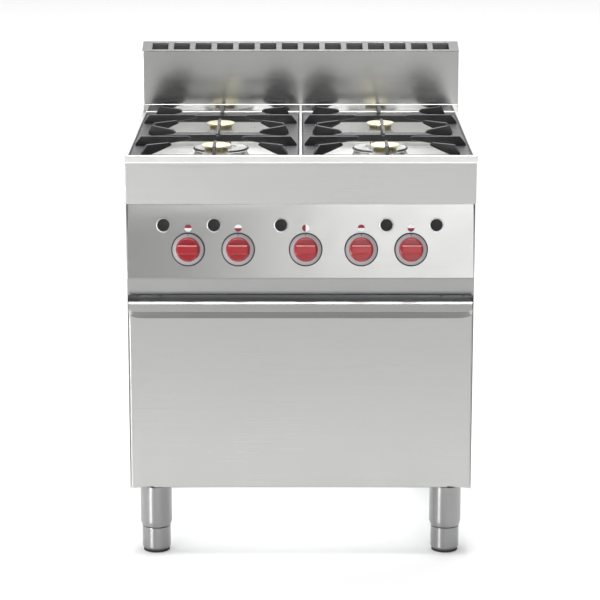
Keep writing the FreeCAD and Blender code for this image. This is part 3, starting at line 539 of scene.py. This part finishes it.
# Also the dark patches on each burner hub, which are painted shade where each air hole opens.
INK_AND_HOLE_SHADE = speckled("Dark skirt print", (0.03, 0.03, 0.03), (0.06, 0.06, 0.06), 0.6, 900.0, 60.0, 0.05)
RED_PRINT = speckled("Red print", (0.22, 0.01, 0.03), (0.28, 0.014, 0.04), 0.55, 1200.0, 90.0, 0.05)
WHITE_PRINT = speckled("White print", (0.82, 0.82, 0.82), (0.93, 0.93, 0.93), 0.5, 1200.0, 90.0, 0.05)
WOOL = glass_wool()
SEAL = speckled("Heat-resisting seal", (0.03, 0.03, 0.03), (0.07, 0.07, 0.068), 0.75, 700.0, 80.0, 0.6)
PAD = speckled("Rubber foot pad", (0.01, 0.01, 0.01), (0.025, 0.025, 0.025), 0.7, 700.0, 80.0, 0.5)


# ---------------------------------------------------------------- worktop

def worktop_pressing():
    """Skirt with a rolled nose, a flat rim, and a stepped well each side of the rib."""
    rib, rim_side, rim_end, ledge = 0.003, 0.009, 0.008, 0.016
    nose, step_in, lip, hem, just_below = 0.0135, 0.0016, 0.007, 0.0005, 0.0005
    xs = [-HALF, -HALF + rim_side, -HALF + rim_side + ledge, -rib - ledge, -rib]
    xs += [-x for x in reversed(xs)]
    ys = [FRONT, FRONT + rim_end, FRONT + rim_end + ledge,
          BACK - rim_end - ledge, BACK - rim_end, BACK]
    last_x, last_y = len(xs) - 2, len(ys) - 2

    def level(i, j):
        """0 on the rim and rib, 1 on the ledge that carries the grid, 2 in the well."""
        across = min(i, last_x - i)
        if across in (0, 4) or j in (0, last_y):
            return 0
        return 1 if across in (1, 3) or j in (1, last_y - 1) else 2

    heights = (RIM, LEDGE, WELL)
    made = {}
    points, faces = [], []

    def point(x, y, z):
        key = (round(x, 6), round(y, 6), round(z, 6))
        if key not in made:
            made[key] = len(points)
            points.append(key)
        return made[key]

    for i in range(len(xs) - 1):
        for j in range(len(ys) - 1):
            here = level(i, j)
            x0, x1, y0, y1 = xs[i], xs[i + 1], ys[j], ys[j + 1]
            z = heights[here]
            faces.append([point(x, y, z) for x, y in ((x0, y0), (x1, y0), (x1, y1), (x0, y1))])
            if i < last_x and level(i + 1, j) != here:
                low = heights[level(i + 1, j)]
                faces.append([point(x1, y, h) for y, h in ((y0, z), (y0, low), (y1, low), (y1, z))])
            if j < last_y and level(i, j + 1) != here:
                low = heights[level(i, j + 1)]
                faces.append([point(x, y1, h) for x, h in ((x0, z), (x1, z), (x1, low), (x0, low))])

    # Rings of the skirt, from the rim down: how far each is set in from the edge, and its height.
    rings = [(0.0, RIM), (0.0, RIM - nose), (step_in, RIM - nose - 0.0015), (step_in, APRON + hem),
             (lip, APRON + hem)]
    around = [(x, ys[0]) for x in xs] + [(xs[-1], y) for y in ys[1:]]
    around += [(x, ys[-1]) for x in reversed(xs[:-1])] + [(xs[0], y) for y in reversed(ys[1:-1])]

    def inset(x, y, amount):
        return (max(-HALF + amount, min(HALF - amount, x)), max(FRONT + amount, min(BACK - amount, y)))

    for (upper_in, upper), (lower_in, lower) in zip(rings, rings[1:]):
        for (xa, ya), (xb, yb) in zip(around, around[1:] + around[:1]):
            faces.append([point(*inset(xa, ya, upper_in), upper), point(*inset(xa, ya, lower_in), lower),
                          point(*inset(xb, yb, lower_in), lower), point(*inset(xb, yb, upper_in), upper)])
    piece = cage("worktop_pressing", points, faces)

    def face_up(shape):
        turn_out(shape)
        if max(shape.faces, key=lambda f: f.calc_center_median().z).normal.z < 0:
            bmesh.ops.reverse_faces(shape, faces=shape.faces)

    reshape(piece, face_up)
    fold_sheet(piece, 0.0026, 0.0015)
    finish_piece(piece, "root", "brushed_steel", SATIN_ACROSS, "worktop")
    piece.data.materials.append(WELL_STEEL)
    piece.data.materials.append(POLISHED)
    for face in piece.data.polygons:
        x, y, z = face.center
        side_reach, end_reach = rim_side * 0.9, rim_end * 0.9
        recessed = abs(x) < HALF - side_reach and FRONT + end_reach < y < BACK - end_reach
        if recessed and z < RIM - just_below:
            face.material_index = 1
        elif abs(face.normal.z) < FACING and z > RIM - nose - 2 * just_below:
            # The upright band of the rolled nose takes the lighter polished steel: a painted highlight along the
            # nose.
            face.material_index = 2
    return dull_back(piece)


def dull_back(piece):
    """Give the faces turned to the wall the plain mill finish."""
    piece.data.materials.append(BACK_STEEL)
    last = len(piece.data.materials) - 1
    behind = max(vertex.co.y for vertex in piece.data.vertices) - 0.002
    for face in piece.data.polygons:
        if face.normal.y > FACING and face.center.y > behind:
            face.material_index = last
    return piece


def rear_upstand():
    """The worktop's turned-up back edge, polished by handling."""
    half, gap, gauge, root = HALF - 0.001, 0.0002, 0.002, 0.004
    low, high = (-half, BACK - gap - gauge, RIM - root), (half, BACK - gap, RIM + UPSTAND)
    piece = soften(box_cage("rear_upstand", low, high), 0.0006)
    finish_piece(piece, "root", "brushed_steel", UPSTAND_STEEL)
    return dull_back(piece)


# ---------------------------------------------------------------- pan grids and burners

def burner_places():
    found = []
    for row in ROWS:
        for side, _ in SIDES:
            low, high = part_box(f"burner_cap_{row}_{side}")
            found.append((row, side, (low.x + high.x) / 2, (low.y + high.y) / 2))
    return found


BURNERS = burner_places()
FINGER_TOP = grid_high.z
BAR_TOP = FINGER_TOP - 0.0195
BURNER_GAP = 0.052  # from a burner's axis to its fingers' tips


def pan_grid(side, sign):
    """Cast frame with crowned bars, and eight fingers round each burner."""
    low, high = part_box(f"{side}_pan_grid")
    inner, outer, end, middle = 0.027, 0.028, 0.028, 0.026
    places = sorted((y, x) for _, its_side, x, y in BURNERS if its_side == side)
    centre_x = places[0][1]
    half_pitch, hold = 0.159, 0.004
    corner_x, corner_y = 0.0875, 0.079
    middle_y = places[0][0] + half_pitch
    near_side, far_side = (inner, outer) if sign > 0 else (outer, inner)
    xs = [low.x, low.x + near_side, high.x - far_side, high.x]
    ys = [low.y, low.y + end, middle_y - middle / 2, middle_y + middle / 2, high.y - end, high.y]
    frame_piece = sheet_of_cells(f"{side}_grid_frame", xs, ys, lambda x, y: low.z,
                                 lambda i, j: not (i == 1 and j in (1, 3)))
    modify(frame_piece, "SOLIDIFY", thickness=BAR_TOP - low.z, offset=1.0)
    soften(frame_piece, 0.0022, 3)
    parts = [settle(frame_piece)]
    for number, (centre_y, _) in enumerate(places):
        window = (ys[1], ys[2]) if number == 0 else (ys[3], ys[4])
        shared = (False, True) if number == 0 else (True, False)
        roots = [((xs[0] + hold, centre_y), (centre_x - BURNER_GAP, centre_y)),
                 ((xs[3] - hold, centre_y), (centre_x + BURNER_GAP, centre_y))]
        for edge_y, joined_row, towards in ((window[0], shared[0], 1), (window[1], shared[1], -1)):
            overrun = middle / 2 if joined_row else end - 0.003
            roots.append(((centre_x, edge_y - towards * overrun),
                          (centre_x, centre_y - towards * BURNER_GAP)))
            for edge_x, side_way in ((xs[1], -1), (xs[2], 1)):
                roots.append(((edge_x + side_way * hold, edge_y - towards * hold),
                              (centre_x + side_way * corner_x, centre_y - towards * corner_y)))
        for index, (root, tip) in enumerate(roots):
            parts.append(grid_finger(f"{side}_{number}_{index}", root, tip))
    piece = joined(f"{side}_cast_grid", parts)
    return finish_piece(piece, f"grid_{side}", "cast_iron", CAST_AND_RIM_SHADE, f"{side}_pan_grid")


def grid_finger(name, root, tip):
    """A web with a flat top, thick at its root, slim at its tip, and narrower below."""
    along = Vector(tip) - Vector(root)
    length = along.length
    wide, slim = 0.0037, 0.0029
    deep, shallow = 0.0205, 0.007
    ramp, toe, belly, narrowing = 0.012, 0.006, 0.55, 0.72
    stations = [(0.0, BAR_TOP + 0.004, BAR_TOP - 0.003, wide), (ramp, FINGER_TOP, BAR_TOP - 0.004, wide),
                (length * belly, FINGER_TOP, FINGER_TOP - deep * 0.8, wide),
                (length - toe, FINGER_TOP, FINGER_TOP - shallow - 0.002, slim),
                (length, FINGER_TOP - 0.003, FINGER_TOP - shallow, slim - 0.0006)]
    points, faces = [], []
    for distance, top, bottom, half in stations:
        points += [(distance, -half, top), (distance, half, top),
                   (distance, half * narrowing, bottom), (distance, -half * narrowing, bottom)]
    for step in range(len(stations) - 1):
        base = 4 * step
        for corner in range(4):
            after = (corner + 1) % 4
            faces.append((base + corner, base + 4 + corner, base + 4 + after, base + after))
    faces += [(0, 1, 2, 3), tuple(len(points) - 4 + k for k in (3, 2, 1, 0))]
    piece = outward(cage(name, points, faces))
    soften(piece, 0.0013, 2)
    turn = Matrix.Rotation(math.atan2(along.y, along.x), 4, "Z")
    return settle(piece, Matrix.Translation((root[0], root[1], 0)) @ turn)


def boxes_round(count, low, high, ease, place, lead=0.0):
    """Equal small boxes set round an upright axis; lead turns them on by a share of their pitch."""
    made = []
    for index in range(count):
        box = soften(box_cage("box", low, high), ease, 1)
        made.append(settle(box, place @ Matrix.Rotation(math.tau * (index + lead) / count, 4, "Z")))
    return made


def burner(row, side, x, y):
    """Spill disc with a black ring at its edge as painted shade, cast hub with dark patches as painted shade where
    each air hole opens, brass cap, and a toothed crown in darker olive brass as painted shade under the cap.
    """
    place = Matrix.Translation((x, y, 0))
    floor = WELL
    stand = turned(f"burner_disc_{row}_{side}", [
        (0.0225, floor + 0.0195), (0.030, floor + 0.0195), (0.034, floor + 0.021), (0.0565, floor + 0.021),
        (0.059, floor + 0.0195), (0.059, floor + 0.018), (0.055, floor + 0.0165), (0.055, floor + 0.014),
        (0.0625, floor + 0.0012), (0.0625, floor + 0.0002), (0.0225, floor + 0.0002)],
        96, 0.0012, True, place)
    finish_piece(stand, "root", "polished_steel", POLISHED)
    # A black ring round the disc's edge: painted shade for the dark outline of its rim.
    edge = turned(f"burner_disc_edge_{row}_{side}", [
        (0.0566, floor + 0.0212), (0.0585, floor + 0.0208), (0.0596, floor + 0.0198),
        (0.0596, floor + 0.0168),
        (0.0566, floor + 0.0168)], 96, 0.0006, True, place)
    finish_piece(edge, "root", "cast_iron", CAST_AND_RIM_SHADE)
    hub = turned(f"burner_hub_{row}_{side}", [
        (0.0190, 0.8262), (0.0232, 0.8262), (0.0236, 0.8235), (0.0300, 0.8175), (0.0312, 0.8160),
        (0.0305, 0.8148),
        (0.0225, 0.8120), (0.0218, 0.7900), (0.0218, 0.7250), (0.0150, 0.7250), (0.0150, 0.8060),
        (0.0190, 0.8080)],
        72, 0.0008, True, place)
    finish_piece(hub, "root", "cast_iron", HUB_ALLOY)
    # Dark patches laid on the hub: painted shade where each air hole opens.
    hole_shades = boxes_round(10, (0.0212, -0.0042, 0.7905), (0.0221, 0.0042, 0.8065), 0.0003, place, 0.35)
    finish_piece(joined(f"burner_air_holes_{row}_{side}", hole_shades), "root", "cast_iron", INK_AND_HOLE_SHADE)
    cap = turned(f"burner_lid_{row}_{side}", [
        (0.0, 0.8414), (0.0085, 0.8412), (0.0100, 0.8405), (0.0255, 0.8400), (0.0285, 0.8394),
        (0.0300, 0.8382),
        (0.0300, 0.8374), (0.0262, 0.8348), (0.0236, 0.8335), (0.0205, 0.8335), (0.0190, 0.8340),
        (0.0, 0.8340)],
        96, 0.0007, False, place)
    finish_piece(cap, f"cap_{row}_{side}", "burner_brass", BRASS_CAP, f"burner_cap_{row}_{side}")
    # The toothed crown under the cap takes darker olive brass: painted shade beneath the cap's overhang.
    teeth = boxes_round(24, (0.0188, -0.0019, 0.8268), (0.0234, 0.0019, 0.8340), 0.0004, place)
    ring = turned("ring", [(0.0140, 0.8345), (0.0196, 0.8345), (0.0196, 0.8264), (0.0228, 0.8264),
                           (0.0228, 0.8266),
                           (0.0186, 0.8266), (0.0186, 0.8125), (0.0140, 0.8125)], 48, 0.0003, True, place)
    crown = joined(f"burner_crown_{row}_{side}", teeth + [ring])
    finish_piece(crown, f"cap_{row}_{side}", "burner_brass", BRASS_SHADED)
    return stand, hub


def burners():
    made = [burner(*where) for where in BURNERS]
    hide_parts("burner_bases")
    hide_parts("burner_bodies")


# ---------------------------------------------------------------- splashback and grille

def splash_case():
    """Flue box with folded edges, open at the top under its grille."""
    near, far, base = splash_low.y, splash_high.y, splash_low.z
    front_top, rear_top = grille_low.z, grille_high.z - 0.0015
    left, right = splash_low.x, splash_high.x
    points = [(left, near, base), (right, near, base), (right, far, base), (left, far, base),
              (left, near, front_top), (right, near, front_top), (right, far, rear_top),
              (left, far, rear_top)]
    faces = [(0, 1, 5, 4), (1, 2, 6, 5), (2, 3, 7, 6), (3, 0, 4, 7)]
    piece = cage("splash_case", points, faces)
    fold_sheet(piece, 0.0022, 0.0015, use_even_offset=True)
    finish_piece(piece, "root", "brushed_steel", SPLASH_STEEL, "splashback")
    return dull_back(piece)


def vent_grille():
    """Sloping strip with fourteen slots, each with its edge turned down."""
    near, far = grille_low.y, grille_high.y - 0.0004
    front_top, rear_top = grille_high.z - 0.015, grille_high.z
    slots, pitch, width, margin = 14, 0.0477, 0.0355, 0.007
    near_edge, turned_down = 0.001, 0.006
    xs = [grille_low.x]
    for index in range(slots):
        centre = pitch * (index - (slots - 1) / 2)
        xs += [centre - width / 2, centre + width / 2]
    xs.append(grille_high.x)
    ys = [near, near + margin, far - margin, far]

    def height(_, y):
        return front_top + (rear_top - front_top) * (y - near) / (far - near)

    piece = sheet_of_cells("vent_grille", xs, ys, height, lambda i, j: j != 1 or i % 2 == 0)
    def is_slot_edge(edge):
        middle = (edge.verts[0].co + edge.verts[1].co) / 2
        return (edge.is_boundary and near + near_edge < middle.y < far - near_edge
                and abs(middle.x) < grille_high.x - near_edge)

    def turn_slots_down(shape):
        drop = bmesh.ops.extrude_edge_only(shape, edges=[e for e in shape.edges if is_slot_edge(e)])
        for part in drop["geom"]:
            if isinstance(part, bmesh.types.BMVert):
                part.co.z -= turned_down
        turn_out(shape)
        if sum(f.normal.z for f in shape.faces) < 0:
            bmesh.ops.reverse_faces(shape, faces=shape.faces)

    reshape(piece, turn_slots_down)
    modify(piece, "SOLIDIFY", thickness=0.0012, offset=-1.0)
    modify(piece, "BEVEL", width=0.0004, segments=2, limit_method="ANGLE", angle_limit=math.radians(50))
    keep_flats(piece)
    return finish_piece(piece, "root", "brushed_steel", GRILLE_STEEL, "flue_grille")


# ---------------------------------------------------------------- control panel

def on_panel(control):
    """The place on the sloping face where a control stands, with its own Z pointing out."""
    out = Vector(joints["knob_1_turn"]["axis"]).normalized()
    right = Vector((1, 0, 0))
    up = out.cross(right)
    anchor = Vector(joints["knob_1_turn"]["pos_m"])
    x, height = control_centre(control)
    spot = anchor + up * ((height - anchor.z) / up.z)
    spot.x = x
    return Matrix.Translation(spot) @ Matrix((right, up, out)).transposed().to_4x4()


def control_centre(node_name):
    """Where a control's axis meets the panel: its x, and its height from its joint or box."""
    low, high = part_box(node_name)
    number = node_name.rsplit("_", 1)[1]
    if node_name.startswith("knob"):
        return joints[f"knob_{number}_turn"]["pos_m"][0], joints[f"knob_{number}_turn"]["pos_m"][2]
    lean = math.asin(Vector(joints["knob_1_turn"]["axis"]).normalized().z)
    reach_out, reach_in = 0.007, 0.020
    middle = (low.z + high.z) / 2
    return (low.x + high.x) / 2, middle - (reach_out - reach_in) / 2 * math.sin(lean)


def panel_sheet():
    """Sloping face, tucked fascia and a return at each edge, folded from one sheet."""
    top, bottom = panel_high.z, panel_low.z
    crease = 0.591
    outline = [(FRONT + 0.058, top - 0.0004), (FRONT + 0.032, top - 0.0004), (FRONT + 0.004, crease),
               (FRONT + 0.014, bottom), (FRONT + 0.052, bottom)]
    half = panel_high.x
    deep = 0.014
    columns = [(-half, deep), (-half, 0.0), (half, 0.0), (half, deep)]
    points = [(x, y + back if 0 < index < 4 else y, z) for x, back in columns
              for index, (y, z) in enumerate(outline)]
    count = len(outline)
    faces = []
    for column in range(3):
        rows = range(1, 3) if column != 1 else range(count - 1)
        for row in rows:
            a, b = column * count + row, (column + 1) * count + row
            faces.append((a, b, b + 1, a + 1))
    piece = cage("panel_sheet", points, faces)

    def face_front(shape):
        drop_loose(shape)
        turn_out(shape)
        if sum(f.normal.y * f.calc_area() for f in shape.faces) > 0:
            bmesh.ops.reverse_faces(shape, faces=shape.faces)

    reshape(piece, face_front)
    fold_sheet(piece, 0.0018, 0.0012, angle=8)
    finish_piece(piece, "root", "brushed_steel", PANEL_STEEL, "control_panel")
    # Faces below the crease take the darker fascia steel, painted shade on the tucked underside.
    piece.data.materials.append(FASCIA_SHADE_STEEL)
    for face in piece.data.polygons:
        face.material_index = 1 if face.center.z < crease else 0
    return piece


def knob(number):
    """Silvered skirt with its printed scale, and a red body with a grip bar."""
    place = on_panel(f"knob_{number}")
    body = f"knob_{number}"
    skirt = turned(f"knob_skirt_{number}", [
        (0.0045, 0.0075), (0.0248, 0.0075), (0.0312, 0.0066), (0.0330, 0.0056), (0.0330, 0.0042),
        (0.0322, 0.0040),
        (0.0045, 0.0040)], 96, 0.0005, True, place)
    finish_piece(skirt, body, "knob_red", SKIRT, f"knob_{number}")
    # A black ring round the skirt's edge: painted shade for its dark outline.
    rim = turned(f"knob_skirt_shade_ring_{number}", [
        (0.0312, 0.0069), (0.0330, 0.0063), (0.0336, 0.0055), (0.0336, 0.0034), (0.0312, 0.0034)],
        96, 0.0003, True, place)
    finish_piece(rim, body, "button_black", BLACK_AND_EDGE_SHADE)
    boss = turned("boss", [
        (0.0, 0.0243), (0.0205, 0.0243), (0.0222, 0.0232), (0.0229, 0.0215), (0.0236, 0.0095),
        (0.0244, 0.0078),
        (0.0244, 0.0070), (0.0045, 0.0070), (0.0045, 0.0190), (0.0, 0.0190)], 96, 0.0012, False, place)
    red = joined(f"knob_body_{number}", [boss, grip_bar(place)])
    finish_piece(red, body, "knob_red", RED)
    marks = []
    count = 36
    pointer = (-0.0009, 0.0262, 0.0058), (0.0009, 0.0322, 0.0072)
    line = (-0.00035, 0.0288, 0.0062), (0.00035, 0.0306, 0.0072)
    for index in range(count):
        tick = box_cage("tick", *(line if index else pointer))
        marks.append(settle(tick, place @ Matrix.Rotation(-math.tau * index / count, 4, "Z")))
    scale = joined(f"knob_scale_{number}", marks)
    finish_piece(scale, body, "button_black", INK_AND_HOLE_SHADE)


def grip_bar(place):
    """A bar across the knob, square-ended, with a broad chamfer along both long edges."""
    seat, face = 0.0225, 0.04375
    half, chamfer, fall, flare = 0.0096, 0.0038, 0.0026, 0.0006
    section = [(-half - flare, seat), (-half, face - fall), (-half + chamfer, face), (half - chamfer, face),
               (half, face - fall), (half + flare, seat)]
    grip = prism("grip", section, -0.0192, 0.0192)
    soften(grip, 0.0007, 2, 20)
    return settle(grip, place)


def button(number):
    """Black cap with a dished face in a bright bezel."""
    place = on_panel(f"igniter_button_{number}")
    cap = turned(f"button_cap_{number}", [
        (0.0, 0.0058), (0.0060, 0.0060), (0.0098, 0.0068), (0.0112, 0.0068), (0.0120, 0.0058),
        (0.0120, -0.0200),
        (0.0, -0.0200)], 72, 0.0006, False, place)
    finish_piece(cap, f"button_{number}", "button_black", BLACK_AND_EDGE_SHADE, f"igniter_button_{number}")
    bezel = turned(f"button_bezel_{number}", [
        (0.0126, 0.0014), (0.0138, 0.0015), (0.0146, 0.0008), (0.0147, 0.0001), (0.0133, 0.0001),
        (0.0133, -0.0270),
        (0.0126, -0.0270)], 72, 0.0003, True, place)
    return finish_piece(bezel, "root", "bright_chrome", POLISHED)


def controls():
    for number in range(1, 6):
        knob(number)
    bezels = [button(number) for number in range(1, 6)]
    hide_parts("igniter_bodies")


# ---------------------------------------------------------------- door

def door_skin():
    """Front sheet of the door with returns on all four edges, the bottom one clear of the hinge brackets."""
    low, high = door_low, door_high
    points = [(low.x, low.y, low.z), (high.x, low.y, low.z), (high.x, low.y, high.z),
    (low.x, low.y, high.z),
              (low.x, high.y, low.z), (high.x, high.y, low.z), (high.x, high.y, high.z),
              (low.x, high.y, high.z)]
    foot_half, foot_back = 0.300, FRONT + 0.044
    points += [(-foot_half, low.y, low.z), (foot_half, low.y, low.z), (foot_half, foot_back, low.z),
               (-foot_half, foot_back, low.z)]
    faces = [(0, 8, 9, 1, 2, 3), (1, 5, 6, 2), (4, 0, 3, 7), (3, 2, 6, 7), (8, 11, 10, 9)]
    piece = cage("door_skin", points, faces)
    fold_sheet(piece, 0.0036, 0.0013, segments=4)
    return finish_piece(piece, "door", "brushed_steel", DOOR_STEEL, "door_outer_panel")


def handle_trough():
    """Full-width handle: chamfered lip, upright face and an underside that rises at both closed ends."""
    face, rear = handle_low.y, door_low.y - 0.0004
    foot, top = handle_low.z, handle_high.z
    lip, fold, rise, run = 0.0042, 0.0018, 0.009, 0.029
    half = handle_high.x
    stations = [-half + 0.0005 + run * (1 - math.cos(math.radians(15 * step))) for step in range(7)]
    stations += [-x for x in reversed(stations)]
    points, faces = [], []
    for x in stations:
        near_end = max(0.0, 1 - (half - abs(x)) / run)
        low = foot + rise * (1 - math.sqrt(1 - near_end ** 2))
        under = foot + 0.0195 + (low - foot) * 0.5
        outline = rounded([(rear, low), (face, under), (face, top - lip), (face + lip * 0.95, top),
                           (face + lip + 0.0022, top), (face + lip + 0.0022, top - 0.0030),
                           (face + lip, top - 0.0026), (face + fold, top - lip - 0.0010),
                           (face + fold, under + 0.0012), (rear, low + 0.0030)], 0.0009, 2, True)
        points += [(x, y, z) for y, z in outline]
    count = len(outline)
    for step in range(len(stations) - 1):
        for index in range(count):
            here, after = step * count + index, step * count + (index + 1) % count
            faces.append((here, here + count, after + count, after))
    last = (len(stations) - 1) * count
    faces += [tuple(range(count)), tuple(reversed(range(last, last + count)))]
    trough = outward(cage("trough", points, faces))
    keep_flats(trough)
    parts = [settle(trough)]
    end = [(rear, foot + rise), (face, foot + 0.0195 + rise * 0.5), (face, top - lip), (face + lip, top),
           (rear, top - 0.004)]
    for _, sign in SIDES:
        x0, x1 = sorted((sign * half, sign * (half - 0.002)))
        cap = prism("cap", [tuple(p) for p in rounded(end, 0.001, 2, True)], x0, x1)
        soften(cap, 0.0005, 2, 50)
        parts.append(settle(cap))
    piece = joined("handle_trough", parts)
    return finish_piece(piece, "door", "brushed_steel", HANDLE_STEEL, "door_handle")


# ---------------------------------------------------------------- legs

def legs():
    for row in ROWS:
        for side, _ in SIDES:
            low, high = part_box(f"foot_{row}_{side}")
            x, y = (low.x + high.x) / 2, (low.y + high.y) / 2
            place = Matrix.Translation((x, y, 0))
            foot = turned(f"foot_barrel_{row}_{side}", [
                (0.0, 0.1250), (0.0100, 0.1250), (0.0100, 0.0536), (0.0270, 0.0536), (0.02925, 0.0528),
                (0.02925, 0.0105), (0.0284, 0.0080), (0.0255, 0.0036), (0.0240, 0.0032), (0.0, 0.0032)],
                96, 0.0008, False, place)
            finish_piece(foot, f"foot_{row}_{side}", "brushed_steel", LEG_SHADE_STEEL, f"foot_{row}_{side}")
            pad = turned(f"foot_pad_{row}_{side}", [
                (0.0, 0.0034), (0.0262, 0.0034), (0.0270, 0.0026), (0.0270, 0.0008), (0.0262, 0.0),
                (0.0, 0.0)],
                72, 0.0004, False, place)
            finish_piece(pad, f"foot_{row}_{side}", "brushed_steel", PAD)
            sleeve = turned(f"leg_sleeve_{row}_{side}", [
                (0.0105, 0.1418), (0.0325, 0.1418), (0.0325, 0.0650), (0.0322, 0.0630), (0.0300, 0.0556),
                (0.0291, 0.0542), (0.0105, 0.0542)], 96, 0.0010, True, place)
            finish_piece(sleeve, "root", "brushed_steel", LEG_SHADE_STEEL)
            plate = soften(box_cage(f"leg_plate_{row}_{side}", (x - 0.040, y - 0.020, 0.1421),
                                    (x + 0.040, y + 0.034, 0.1458)), 0.0012)
            finish_piece(plate, "root", "plain_steel", ZINC)
    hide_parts("leg_sleeves")


worktop_pressing()
rear_upstand()
for side, sign in SIDES:
    pan_grid(side, sign)
burners()
splash_case()
vent_grille()
panel_sheet()
controls()
door_skin()
handle_trough()
legs()


# ---------------------------------------------------------------- finishes on the CAD nodes

FINISHES = {
    "brushed_steel": SATIN_ACROSS, "polished_steel": POLISHED, "plain_steel": ZINC, "oven_enamel": ENAMEL,
    "bright_chrome": CHROME, "cast_iron": CAST_AND_RIM_SHADE, "burner_brass": BRASS_CAP, "tap_brass": BRASS_TAP,
    "pipe_aluminium": ALUMINIUM, "pipe_steel": PIPE_PAINT, "burner_steel": HEAT_STAINED, "knob_red": RED,
    "button_black": BLACK_AND_EDGE_SHADE, "mark_red": RED_PRINT, "mark_white": WHITE_PRINT, "glass_wool": WOOL,
    "seal_rubber": SEAL,
}
slots = {subpart["node"]: subpart["material_slot"] for subpart in frame["record"]["subparts"]}
for name, node_object in nodes.items():
    node_object.data.materials.clear()
    node_object.data.materials.append(FINISHES[slots[name]])
for side, _ in SIDES:
    nodes[f"{side}_side_panel"].data.materials[0] = SATIN_UPRIGHT
for name in ("frame_screws", "rear_screws"):
    nodes[name].data.materials[0] = SCREW_STEEL


# ---------------------------------------------------------------- studio

def area_light(name, place, aim, size, power):
    data = bpy.data.lights.new(name, "AREA")
    data.shape = "RECTANGLE"
    data.size, data.size_y = size
    data.energy = power
    lamp = bpy.data.objects.new(name, data)
    bpy.context.scene.collection.objects.link(lamp)
    lamp.location = place
    lamp.rotation_euler = (Vector(aim) - Vector(place)).to_track_quat("-Z", "Y").to_euler()
    return lamp


def studio():
    """Pale floor, grey air that changes from left to right, and soft boxes."""
    reach = 40
    corners = [(-reach, -reach, 0), (reach, -reach, 0), (reach, reach, 0), (-reach, reach, 0)]
    floor = cage("studio_floor", corners, [(0, 1, 2, 3)])
    made, _, shader = material("Pale floor", Roughness=0.9)
    shader.inputs["Base Color"].default_value = (0.9, 0.9, 0.9, 1.0)
    floor.data.materials.append(made)
    world = bpy.data.worlds.new("Studio air")
    bpy.context.scene.world = world
    world.use_nodes = True
    tree = world.node_tree
    where = node(tree, "ShaderNodeTexCoord")
    parts = node(tree, "ShaderNodeSeparateXYZ")
    wire(tree, where.outputs["Generated"], parts.inputs[0])
    across = node(tree, "ShaderNodeValToRGB")
    wire(tree, spread(tree, parts.outputs["X"], 0.0, 1.0, -1.0, 1.0), across.inputs[0])
    # From the left round to the right: a bright wall, a dark gap, a bright wall, then dark.
    stops = ((0.0, 1.0), (0.25, 0.9), (0.39, 0.36), (0.65, 0.8), (0.8, 0.35), (1.0, 0.3))
    while len(across.color_ramp.elements) < len(stops):
        across.color_ramp.elements.new(0.5)
    for element, (position, shade) in zip(across.color_ramp.elements, stops):
        element.position = position
        element.color = (shade, shade, shade, 1.0)
    wire(tree, across.outputs[0], tree.nodes["Background"].inputs["Color"])
    tree.nodes["Background"].inputs["Strength"].default_value = 1.0
    area_light("overhead", (-0.4, 0.2, 3.4), (-0.3, 0.1, 0), (4.0, 2.6), 40)
    area_light("strip", (0, -0.66, 2.6), (0, -0.5, 0.6), (2.1, 0.42), 22)
    area_light("back_floor", (0, 7.0, 5.0), (0, 7.0, 0), (14.0, 10.0), 420)
    top = area_light("top_box", (0, 0.25, 1.9), (0, 0.0, 0.84), (0.8, 0.6), 7)
    top.data.spread = math.radians(60)
    area_light("front_box", (1.25, -5.8, 1.7), (0.3, 0, 0.7), (2.8, 1.3), 24)
    area_light("low_back", (0, 2.4, 0.8), (0, 0.2, 0.0), (2.8, 0.9), 11)
    area_light("left_low", (-2.1, -2.6, 0.36), (-0.1, -0.2, 0.1), (0.8, 0.7), 42)
    area_light("under_fill", (0, 0.0, 0.135), (0, 0, 0), (0.6, 0.5), 1.0)
    bpy.context.scene.view_settings.view_transform = "Standard"
    bpy.context.scene.view_settings.look = "None"


def camera():
    """Long lens in front of the range, a little above it and looking slightly down."""
    tilt_down = 0.2254
    data = bpy.data.cameras.new("camera")
    data.sensor_width = 36.0
    data.lens = 144.6
    data.clip_start, data.clip_end = 0.1, 100.0
    eye = bpy.data.objects.new("camera", data)
    bpy.context.scene.collection.objects.link(eye)
    eye.location = (-0.0012, -5.010, 1.6255)
    eye.rotation_euler = (math.pi / 2 - tilt_down, 0.0, 0.0)
    bpy.context.scene.camera = eye


studio()
camera()
